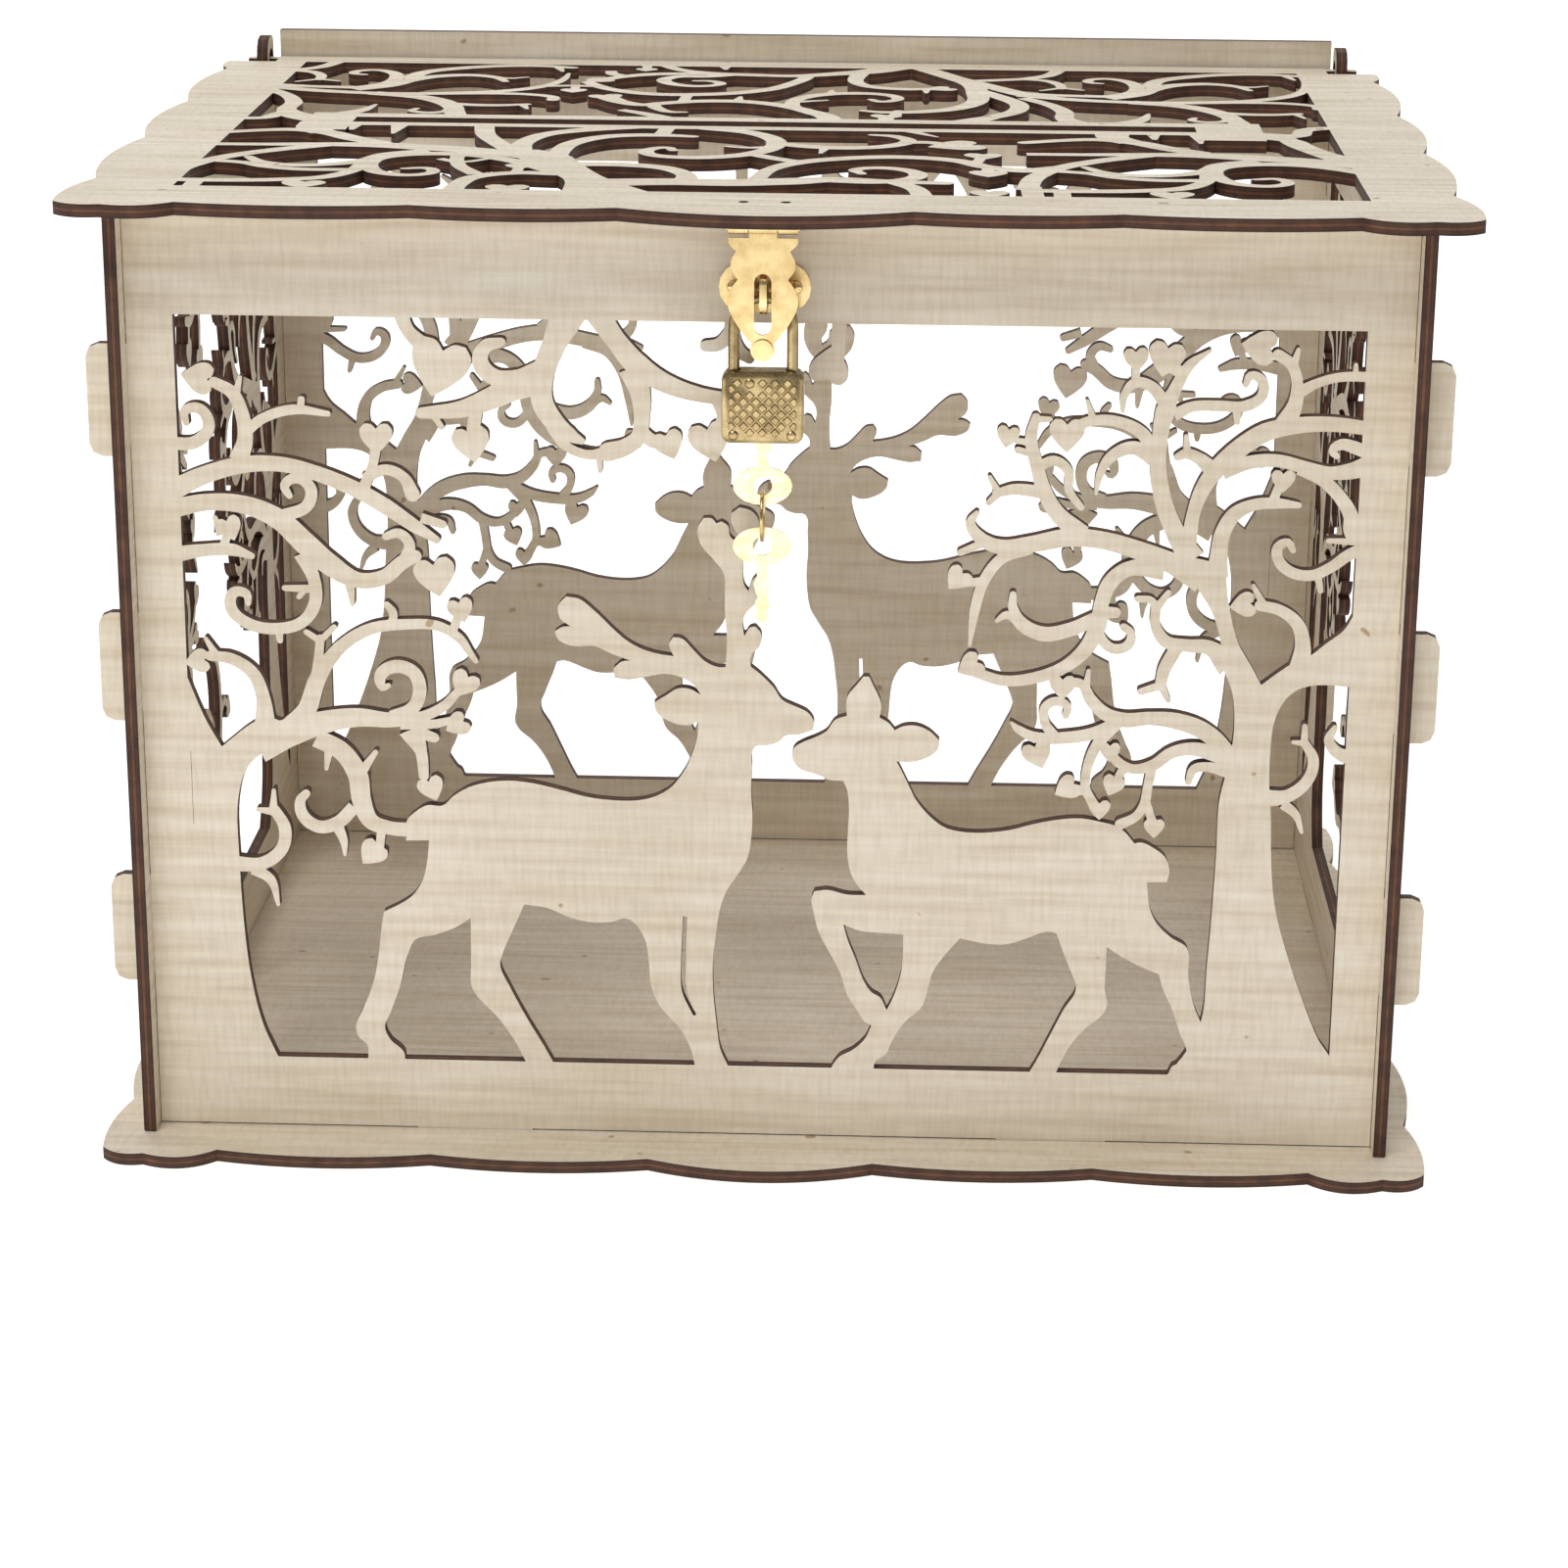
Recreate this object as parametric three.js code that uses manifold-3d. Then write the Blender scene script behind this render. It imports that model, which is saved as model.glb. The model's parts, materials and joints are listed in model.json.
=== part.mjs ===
// Wedding card box: laser-cut plywood panels slotted together, a lid that turns on its own
// two pins, and a small brass hasp, staple, padlock and keys.
// Millimetres, +Z up. Origin: on the floor, in the middle of the base.
import * as THREE from 'three';
import { mergeVertices } from 'three/addons/utils/BufferGeometryUtils.js';
import Module from 'manifold-3d';

const wasm = await Module();
wasm.setup();

// ---------------------------------------------------------------- driving dimensions
const ply = 3; // plywood thickness
const gap = 0.3; // between faces that meet
const slack = 0.15; // around a tab in its slot

const boxWidth = 300; // over the side panels' outer faces
const boxDepth = 235; // side panels, front to back
const inset = 6.1; // front and back panels sit this far in from the side panels' edges
const baseBottom = 0.9; // the panels' tabs reach the floor through the base
const baseTop = baseBottom + ply;
const wallTop = 229; // top edge of the front and side panels
const lidBottom = wallTop + gap;
const backTop = 239.4; // the back panel stands above the lid as its stop

const windowHalf = 136; // cut-out window of the front and back panels
const groundLine = 21.8;
const windowTop = 204;
const cutTolerance = 0.7; // how far a cut edge may leave the drawn curve
const lidTolerance = 0.4; // the same, among the lid's closer scrolls
const stepLength = 1.2; // along a drawn curve
const drawTolerance = 0.02; // drops points that lie on a straight line, so that slabs triangulate cleanly

const frontEdge = -boxDepth / 2;
const frontFace = frontEdge + inset; // front panel's outer face
const backFace = -frontFace; // back panel's outer face
const sideInner = boxWidth / 2 - ply;

const hinge = { y: frontEdge + 221.6, z: 231.6, holeRadius: 3.3 };
const lock = { x: -0.5, y: frontEdge - 1.7, stapleZ: 212.35 };

// ---------------------------------------------------------------- flat outlines
// An outline is a list of [x, y] points.

const unit = (a, b) => {
  const length = Math.hypot(b[0] - a[0], b[1] - a[1]) || 1;
  return [(b[0] - a[0]) / length, (b[1] - a[1]) / length];
};

/** A smooth curve through [x, y] or [x, y, width] points; turns sharper than cornerTurn stay corners. */
function smooth(points, closed, cornerTurn = 52) {
  const count = points.length;
  const at = (i) => points[(i + count) % count];
  const sharp = Math.cos(THREE.MathUtils.degToRad(cornerTurn));
  const heading = (i, forward) => {
    if (!closed && (i === 0 || i === count - 1)) return forward;
    const before = unit(at(i - 1), at(i));
    const after = unit(at(i), at(i + 1));
    if (before[0] * after[0] + before[1] * after[1] < sharp) return forward;
    return unit([0, 0], [before[0] + after[0], before[1] + after[1]]);
  };
  const line = [];
  const spans = closed ? count : count - 1;
  for (let i = 0; i < spans; i++) {
    const a = at(i);
    const b = at(i + 1);
    const chord = Math.hypot(b[0] - a[0], b[1] - a[1]);
    const forward = unit(a, b);
    const from = heading(i, forward);
    const to = heading(i + 1, forward);
    const steps = Math.max(2, Math.ceil(chord / stepLength));
    for (let k = 0; k < steps; k++) {
      const t = k / steps;
      const h1 = 2 * t ** 3 - 3 * t ** 2 + 1;
      const h2 = t ** 3 - 2 * t ** 2 + t;
      const h3 = -2 * t ** 3 + 3 * t ** 2;
      const h4 = t ** 3 - t ** 2;
      const place = (c) => h1 * a[c] + h2 * chord * from[c] + h3 * b[c] + h4 * chord * to[c];
      line.push([place(0), place(1), THREE.MathUtils.lerp(a[2], b[2], t)]);
    }
  }
  if (!closed) line.push(points[count - 1]);
  return line;
}

/** A twig: a ribbon with a round tip along [x, y, width] points. */
function twig(points) {
  const line = smooth(points, false, 180);
  const last = line.length - 1;
  const left = [];
  const right = [];
  line.forEach(([x, y, width], i) => {
    const [dx, dy] = unit(line[Math.max(i - 1, 0)], line[Math.min(i + 1, last)]);
    const half = width / 2;
    left.push([x - dy * half, y + dx * half]);
    right.push([x + dy * half, y - dx * half]);
  });
  const [x, y, width] = line[last];
  const [dx, dy] = unit(line[last - 1], line[last]);
  const tip = [];
  for (let k = 1; k < 4; k++) {
    const across = (Math.cos((Math.PI * k) / 4) * width) / 2;
    const along = (Math.sin((Math.PI * k) / 4) * width) / 2;
    tip.push([x - dy * across + dx * along, y + dx * across + dy * along]);
  }
  return [...left, ...tip, ...right.reverse()];
}

const rectangle = (x0, y0, x1, y1) => [[x0, y0], [x1, y0], [x1, y1], [x0, y1]];

function disc(x, y, radius, sides = 24) {
  return Array.from({ length: sides }, (_, i) => {
    const angle = (2 * Math.PI * (i + 0.5)) / sides;
    return [x + radius * Math.cos(angle), y + radius * Math.sin(angle)];
  });
}

const moved = (outlines, dx, dy) => outlines.map((o) => o.map(([x, y]) => [x + dx, y + dy]));
const mirroredX = (outline) => outline.map(([x, y]) => [-x, y]).reverse();

// ---------------------------------------------------------------- solids
function toManifold(geometry) {
  const bare = geometry.clone();
  bare.deleteAttribute('normal');
  bare.deleteAttribute('uv');
  const welded = mergeVertices(bare, 1e-5);
  const corners = welded.index.array;
  const kept = [];
  for (let i = 0; i < corners.length; i += 3) {
    const [a, b, c] = corners.slice(i, i + 3);
    if (a !== b && b !== c && c !== a) kept.push(a, b, c);
  }
  return new wasm.Manifold(new wasm.Mesh({
    numProp: 3,
    vertProperties: new Float32Array(welded.attributes.position.array),
    triVerts: new Uint32Array(kept),
  }));
}

function toGeometry(solid) {
  const mesh = solid.getMesh();
  const geometry = new THREE.BufferGeometry();
  geometry.setAttribute('position', new THREE.BufferAttribute(new Float32Array(mesh.vertProperties), 3));
  geometry.setIndex(new THREE.BufferAttribute(new Uint32Array(mesh.triVerts), 1));
  return geometry;
}

const extrude = (shape, depth, options = {}) =>
  new THREE.ExtrudeGeometry(shape, { depth, bevelEnabled: false, curveSegments: 10, ...options });

/** A slab of an outline, the raw stock that plates are joined and cut from. */
function slab(outline, thickness = 1) {
  const drawn = thinned(outline.map(([x, y]) => [x, y]), drawTolerance);
  return toManifold(extrude(new THREE.Shape(drawn.map(([x, y]) => new THREE.Vector2(x, y))), thickness));
}

/** Joins solids two by two, so that no join has to carry the whole model. */
function joined(solids) {
  let list = solids;
  while (list.length > 1) {
    const next = [];
    for (let i = 0; i < list.length; i += 2) {
      next.push(i + 1 < list.length ? list[i].add(list[i + 1]) : list[i]);
    }
    list = next;
  }
  return list[0];
}

/** The closed edges of a unit slab's top face: anticlockwise outside, clockwise round holes. */
function edgesOf(solid) {
  const mesh = solid.getMesh();
  const point = (v) => [mesh.vertProperties[3 * v], mesh.vertProperties[3 * v + 1]];
  const isTop = (v) => mesh.vertProperties[3 * v + 2] > 0.5;
  const edges = new Set();
  for (let t = 0; t < mesh.triVerts.length; t += 3) {
    const corners = [mesh.triVerts[t], mesh.triVerts[t + 1], mesh.triVerts[t + 2]];
    if (corners.every(isTop)) corners.forEach((v, i) => edges.add(`${v}/${corners[(i + 1) % 3]}`));
  }
  const next = new Map();
  for (const edge of edges) {
    const [from, to] = edge.split('/');
    if (!edges.has(`${to}/${from}`)) next.set(from, to);
  }
  const loops = [];
  while (next.size > 0) {
    const start = next.keys().next().value;
    const loop = [];
    for (let v = start; next.has(v);) {
      loop.push(point(Number(v)));
      const after = next.get(v);
      next.delete(v);
      v = after;
    }
    loops.push(loop);
  }
  return loops;
}

function offLine(p, a, b) {
  const [ux, uy] = unit(a, b);
  const along = (p[0] - a[0]) * ux + (p[1] - a[1]) * uy;
  const length = Math.hypot(b[0] - a[0], b[1] - a[1]);
  const t = Math.min(Math.max(along, 0), length);
  return Math.hypot(p[0] - a[0] - ux * t, p[1] - a[1] - uy * t);
}

/** Drops the points of an open run that lie within the tolerance of its chords. */
function thinRun(run, tolerance) {
  const last = run.length - 1;
  let worst = 0;
  let split = 0;
  for (let i = 1; i < last; i++) {
    const off = offLine(run[i], run[0], run[last]);
    if (off > worst) [worst, split] = [off, i];
  }
  if (worst <= tolerance) return [run[0]];
  return [...thinRun(run.slice(0, split + 1), tolerance), ...thinRun(run.slice(split), tolerance)];
}

function thinned(loop, tolerance) {
  const distance = (p) => Math.hypot(p[0] - loop[0][0], p[1] - loop[0][1]);
  const far = loop.reduce((best, p, i) => (distance(p) > distance(loop[best]) ? i : best), 0);
  const there = loop.slice(0, far + 1);
  const back = [...loop.slice(far), loop[0]];
  return [...thinRun(there, tolerance), ...thinRun(back, tolerance)];
}

const areaOf = (loop) => loop.reduce((sum, [x, y], i) => {
  const [nx, ny] = loop[(i + 1) % loop.length];
  return sum + (x * ny - nx * y) / 2;
}, 0);

/** A plywood plate: all the outlines in add, joined, less all in cut, at the sheet's thickness. */
function plate(add, cut = []) {
  const whole = joined(add.map((o) => slab(o)));
  const solid = cut.length > 0 ? whole.subtract(joined(cut.map((o) => slab(o)))) : whole;
  return plateFrom(solid);
}

function plateFrom(solid, tolerance = cutTolerance) {
  const smallest = 0.3; // square millimetres: slivers are dropped
  // Small holes follow their drawn curves more closely than large ones.
  const toleranceOf = (l) => Math.min(tolerance, Math.sqrt(Math.abs(areaOf(l))) / 25);
  const loops = edgesOf(solid).map((l) => thinned(l, toleranceOf(l))).filter((l) => l.length > 2);
  const outside = loops.filter((l) => areaOf(l) > smallest);
  const holes = loops.filter((l) => areaOf(l) < -smallest);
  if (outside.length !== 1) {
    const places = outside.map((l) => `${l[0].map(Math.round)} (${Math.round(areaOf(l))})`);
    throw new Error(`a plate must be one piece, found: ${places.join('; ')}`);
  }
  return toGeometry(slab(outside[0], ply).subtract(joined(holes.map((l) => slab(l, ply)))));
}

// Turns a plate drawn flat into an upright one.
const facingFront = (geometry) => geometry.rotateX(Math.PI / 2); // drawn [x, z], thickness towards -Y
const facingSide = (geometry) => geometry.rotateX(Math.PI / 2).rotateZ(Math.PI / 2); // drawn [y, z]

// ---------------------------------------------------------------- cut-out pictures
// Drawn in [x, z] on a panel 300 wide, the ground at z = groundLine.

function leftTree() {
  return [
    smooth([[-137, 21], [-117.7, 21.8], [-121, 30], [-123.5, 42], [-124.8, 56], [-125.3, 72],
      [-125, 88], [-122.5, 95.5], [-118, 99.5], [-111, 101], [-112, 106], [-117.7, 108], [-121, 106.5],
      [-128.5, 100.5], [-132, 107], [-136, 117.5], [-137, 117.5]], true),
    twig([[-120, 101, 9], [-113, 104, 7], [-104, 107, 5.5], [-96, 108.3, 4.6], [-88, 107.8, 3.6],
      [-81, 108.7, 2.6], [-75.5, 111.5, 2.4], [-72.3, 115, 2]]),
    twig([[-113, 104, 6], [-108, 110, 4.5], [-105.5, 117, 4], [-103, 121.5, 3.5], [-98.5, 126.5, 3],
      [-92, 130.2, 2.8], [-84, 131.3, 2.6], [-76.5, 131, 2.4], [-71.5, 128, 2.2], [-69, 124.3, 1.6],
      [-67.8, 122.6, 1.2]]),
    twig([[-139, 162, 5], [-130, 166.4, 4.2], [-121, 169, 4], [-112, 169.2, 3.6], [-104, 167.2, 3.6],
      [-96, 164, 3.8], [-88, 159.5, 3.8], [-81.5, 155, 3.2], [-76.5, 151.8, 1.8]]),
    twig([[-139, 158, 4.5], [-129, 160, 4], [-120, 159.2, 4.4], [-113, 156, 5], [-107, 150.3, 5.5],
      [-101, 145, 5.2], [-95, 141.8, 3.8], [-89, 142.6, 3.6], [-84.5, 146.3, 3.4], [-81.5, 147.8, 3]]),
    twig([[-108, 148, 4], [-105.4, 142, 3], [-105.3, 136, 3], [-108.5, 131.4, 2.8],
      [-114.5, 129.7, 2.8], [-121, 130.8, 2.8], [-125, 134.5, 2.8], [-124.3, 138.3, 2.6],
      [-121.3, 138, 2.2], [-121, 135.8, 1.4]]),
    twig([[-106, 103, 4.5], [-100, 99.8, 4.6], [-96.4, 94, 4.8], [-95.6, 87.5, 4.6], [-93.5, 82.5, 4],
      [-89, 80.9, 3.4], [-84, 80.5, 3.6]]),
  ];
}

function rightTree() {
  return [
    smooth([[96, 20], [101.8, 28], [104.9, 35.5], [105.8, 50], [106.5, 65], [106.9, 80], [107, 91],
      [109.2, 102.8], [109.8, 110], [109, 118], [106.4, 124.8], [106, 129.4], [103.5, 137.5],
      [100, 143], [97, 147.5], [102.3, 148], [106.4, 150], [106.6, 144.2], [107.5, 138.4],
      [109.9, 130.1], [113.4, 124.2], [115.6, 120.1], [119.3, 123.1], [122.5, 125.4], [125.5, 126.6],
      [130.5, 130.7], [134, 133.6], [137, 139], [137, 120], [128, 120.2], [124, 119], [121, 116],
      [119, 111], [118.5, 105], [118.5, 97], [119.3, 88], [120, 75], [121.3, 65], [123.8, 56],
      [128, 44], [133, 32], [137, 25.3], [137, 20]], true),
    twig([[101, 146, 8], [94, 149, 5], [86, 152, 4.4], [78, 154.2, 4.2], [70, 154.8, 4.4],
      [62, 153.2, 4], [54, 152.3, 3.6], [49.3, 154.5, 3], [47.2, 158, 2.2], [48.6, 160.3, 1.2]]),
    twig([[73, 155.5, 4.5], [67, 160.5, 3.8], [63.8, 166, 3.4], [62, 172, 3], [60.6, 178, 2.8],
      [61.6, 183, 2]]),
    twig([[98.5, 150, 6], [94.3, 156.5, 4.4], [91.2, 164, 4], [89.8, 172, 3.6], [90, 179, 3.6],
      [91, 185, 4.4], [92.8, 189.5, 3], [96, 195.5, 2.4], [100.6, 199, 0.8]]),
    twig([[97.5, 154, 3.6], [98.3, 161, 3], [100.3, 167, 3.6], [103.5, 171.8, 4.2], [108, 176.3, 4.4],
      [114, 180.3, 4.4], [121, 182, 3.8], [129, 182.4, 3.5], [139, 181.3, 3.2]]),
    twig([[104.5, 171, 4], [110.5, 173.2, 3.2], [117, 173.7, 3], [123, 172.3, 3], [129, 171, 3],
      [134.5, 171.7, 4], [139, 173.5, 5]]),
    twig([[104.4, 146, 5], [104.5, 151, 4], [105.2, 156.5, 3.6], [107.8, 161, 3.4], [112, 163.2, 2.8],
      [117, 163.7, 2.6], [122.3, 163.3, 1.4]]),
    twig([[110, 99, 5], [107, 105, 4], [102, 109, 4.2], [96, 111, 4], [90, 111.5, 3.2], [84, 111, 3.6],
      [79.5, 112.5, 3.2], [76, 116, 2.8], [74, 119.5, 2.2], [71.5, 120, 2.4]]),
    twig([[112, 101, 6], [106, 103, 4], [100, 104.2, 3.2], [95.5, 103.2, 2.8], [91, 99.9, 2.8],
      [86.5, 99, 2.3], [83, 100.6, 2.4], [81.3, 102.6, 2.2]]),
    twig([[92, 147.5, 5], [84, 147.6, 3.6], [79.8, 144.3, 3.6], [78, 139.5, 3.4], [77.3, 134, 4],
      [74.5, 128, 3.6], [69.5, 123.5, 3], [62.5, 120.8, 2.8], [55.5, 120.1, 2.6], [49, 122, 2.4]]),
    twig([[76.8, 135.5, 3.4], [71, 132.8, 3.4], [64.5, 131.6, 3.6], [59.3, 134.2, 3.2], [57.4, 138, 2.2],
      [57.4, 141, 1.6]]),
    twig([[61, 152.6, 4], [54.5, 149.5, 2.6], [50.5, 144, 2.6], [48.6, 137, 2.4], [47.6, 128.5, 0.8]]),
  ];
}

function hangingVines() {
  return [
    twig([[-45, 206, 8], [-48.5, 198.5, 5.5], [-51.3, 191, 5], [-51.5, 185, 5], [-49, 180.5, 4.6],
      [-45, 177, 3.4], [-42.5, 175.8, 1.6]]),
    twig([[-51, 190, 7], [-57, 188.6, 6.5], [-63, 185.6, 5.2], [-70, 182.9, 4], [-79.5, 181.8, 2.6]]),
    twig([[-39, 206, 5.5], [-34.5, 199.5, 4.6], [-29.5, 193.6, 5.5], [-23, 189.5, 4.4], [-15, 187, 3.4],
      [-7, 186.2, 3], [1, 187.4, 2.4], [8.3, 189.6, 0.8]]),
  ];
}

function buck() {
  return [
    smooth([[-85, 79.8], [-85, 82.8], [-83, 85], [-80, 86.8], [-76.3, 86.8], [-74, 89], [-70, 91.5],
      [-65, 92.9], [-60, 93.3], [-55, 92.8], [-48, 91.2], [-42, 89.6], [-36, 88.9], [-30, 89],
      [-26, 90], [-22, 92.5], [-19, 96.5], [-17, 101], [-15.8, 105.5], [-15.7, 108.8], [-18, 107.8],
      [-22, 108.5], [-25.5, 111], [-26, 113.3], [-23, 115.2], [-20.5, 116.8], [-17.5, 116.7],
      [-15, 115.3], [-17, 118], [-21, 120], [-24, 120.3], [-28, 119.5], [-32, 118.8], [-35.3, 119.2],
      [-35.5, 121.5], [-33.5, 123.2], [-31.5, 123.4], [-36, 125], [-40, 126.8], [-45, 126.7],
      [-48.5, 128.3], [-49.2, 130.2], [-47.5, 131.3], [-45.5, 131.5], [-48, 133.5], [-48.3, 136.5],
      [-46.5, 138.7], [-43.5, 138.2], [-40, 135.5], [-36, 131.5], [-32, 128], [-28, 126], [-24, 125],
      [-21.4, 124.7], [-22.5, 127.5], [-21.5, 129.3], [-19.5, 129], [-17, 126.5], [-14, 123.5],
      [-11, 122.2], [-9.3, 122.2], [-9, 126], [-9, 130], [-9.5, 136], [-9.5, 140], [-9.8, 145],
      [-12, 148], [-15, 151.5], [-15.8, 155.5], [-14.5, 158], [-12.5, 158], [-11.5, 156.8],
      [-10.3, 157.3], [-8.8, 156.3], [-8.3, 153.8], [-6.7, 152.4], [-6.5, 154], [-8, 156.8],
      [-8, 159.3], [-6.2, 160.7], [-3.5, 160], [-1.8, 158], [-1.5, 154.5], [-3, 150.5], [-5, 148],
      [-5.3, 145], [-4.9, 142], [-4, 140.8], [-3, 143.5], [-2, 144.5], [-0.5, 143.3], [-0.5, 140],
      [-2.5, 137.5], [-4.5, 135.5], [-5.3, 133], [-4.9, 129.8], [-3.5, 132], [-2.3, 132.2],
      [-1, 130.5], [-1.3, 127.5], [-3.2, 125.3], [-3.4, 122.5], [-1.5, 121], [0, 119.6], [2, 117.5],
      [4, 114.5], [7, 113], [10, 111.5], [11.5, 109.3], [11.3, 107.2], [8, 106], [5, 105.7], [3, 104],
      [0.5, 103.2], [-2, 103], [-3, 101.5], [-3, 98], [-3.2, 92], [-2.8, 86], [-3.1, 80], [-4, 75],
      [-6.5, 70.5], [-9, 66.5], [-10.5, 62], [-11.5, 55], [-12.2, 48], [-12, 40], [-11.3, 33],
      [-10.3, 26], [-8.5, 21.8], [-16.5, 21.8], [-17.5, 26], [-20, 31], [-25, 37], [-27, 42],
      [-27.5, 48], [-28.5, 54], [-31.5, 58.5], [-33.5, 59.2], [-36, 58.3], [-41, 58], [-46, 59],
      [-52, 61.5], [-57.3, 62.2], [-60, 56], [-63, 48.5], [-63.3, 46.5], [-61, 41], [-57, 33],
      [-53, 26], [-50.8, 21.8], [-57.5, 21.8], [-60, 27], [-64, 33], [-69, 38.5], [-70.3, 41],
      [-70.3, 47], [-70.2, 58.5], [-74, 56], [-79, 54], [-83.5, 52.8], [-85.5, 49], [-87.5, 41],
      [-90, 34], [-91.5, 30], [-90, 26.5], [-88, 24.8], [-87, 23.5], [-86.8, 21.8], [-95.8, 21.8],
      [-95.8, 25], [-98, 27.5], [-98.5, 30], [-96.5, 35], [-94, 41.5], [-92.5, 49], [-91.8, 55],
      [-91, 59.7], [-87, 61.8], [-84, 64], [-81.5, 68], [-80.3, 73], [-79.8, 78], [-85.3, 77.8]], true),
  ];
}

function doe() {
  return [
    smooth([[6.5, 101.5], [7, 99], [9, 97.2], [11.5, 96.5], [13.5, 95.8], [15, 95], [18.5, 94.8],
      [19.5, 92.5], [20, 88], [19.8, 82], [19.7, 77], [20.5, 72], [22, 69], [24.3, 66.3], [20, 66.3],
      [15, 67.4], [12, 67], [11.3, 65], [11.8, 62], [13, 57], [16, 51], [18.5, 46], [20, 41], [23, 36],
      [24.5, 33.8], [26, 33], [24.5, 29.5], [21.5, 26.5], [18.5, 24.8], [16.8, 22.5], [16.5, 21.8],
      [26.7, 21.8], [27, 23.5], [29.5, 25.5], [31, 29], [34, 34], [38, 38], [39.5, 43], [40.5, 47],
      [43, 51], [46.8, 55.7], [49, 55.3], [53, 54.5], [58, 54.5], [62, 55.8], [66, 57.5], [68, 57.9],
      [69.8, 57.5], [71, 54], [73, 49], [74.8, 43.3], [72, 38], [69, 31.5], [66, 25], [64.3, 21.8],
      [70.7, 21.8], [71.5, 24], [74, 29], [77.5, 33.5], [81, 36.5], [82.3, 39], [81.7, 44], [81.8, 50],
      [81.8, 54.3], [86, 51.5], [91, 49], [94.5, 47.6], [95.5, 44], [98, 38.5], [100, 32.5],
      [101.8, 28], [101.2, 25.3], [98.5, 24], [97.6, 21.8], [112, 20], [112, 34], [104.9, 35.5],
      [103, 40], [101.5, 47],
      [100.8, 54.5], [97, 57], [93.5, 60.5], [91.8, 64], [90.8, 70.8], [95.5, 71], [96, 73.5],
      [95, 77], [92, 79.5], [89, 80.8], [87.5, 80.5], [85, 83.5], [83, 84.8], [80, 85.6], [75, 86.5],
      [70, 86.2], [64, 85], [58, 83.3], [52, 82.5], [47, 82.6], [43, 83.5], [40, 85.5], [36, 90],
      [33.5, 95], [31.5, 99], [31, 99.8], [34, 99.7], [38, 100.8], [40.7, 103], [41, 105.2],
      [38.5, 107.5], [35.5, 108.7], [32.5, 108.5], [30.5, 107.5], [29, 109.3], [26.9, 110.5],
      [27.2, 114], [25.5, 118], [24.3, 120.5], [23, 120.5], [21.5, 118.5], [19.3, 115.5],
      [19.2, 110.8], [16.5, 109.8], [14.5, 107], [12, 105.5], [9, 104.2], [7, 102.8]], true),
  ];
}

/** The narrow slits and holes inside the trees and the deer. */
function sceneSlits() {
  return [
    smooth([[19, 58.7], [20, 55], [22, 50], [24, 44.5], [26, 41.5], [28, 40.3], [29.6, 37], [31, 40],
      [32.8, 46], [33.3, 52], [33.3, 56.5], [29, 56.7], [23, 57.2]], true),
  ];
}

// ---------------------------------------------------------------- lid scrollwork
// Drawn in [x, y] with y = 0 at the side panels' front edges.

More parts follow.
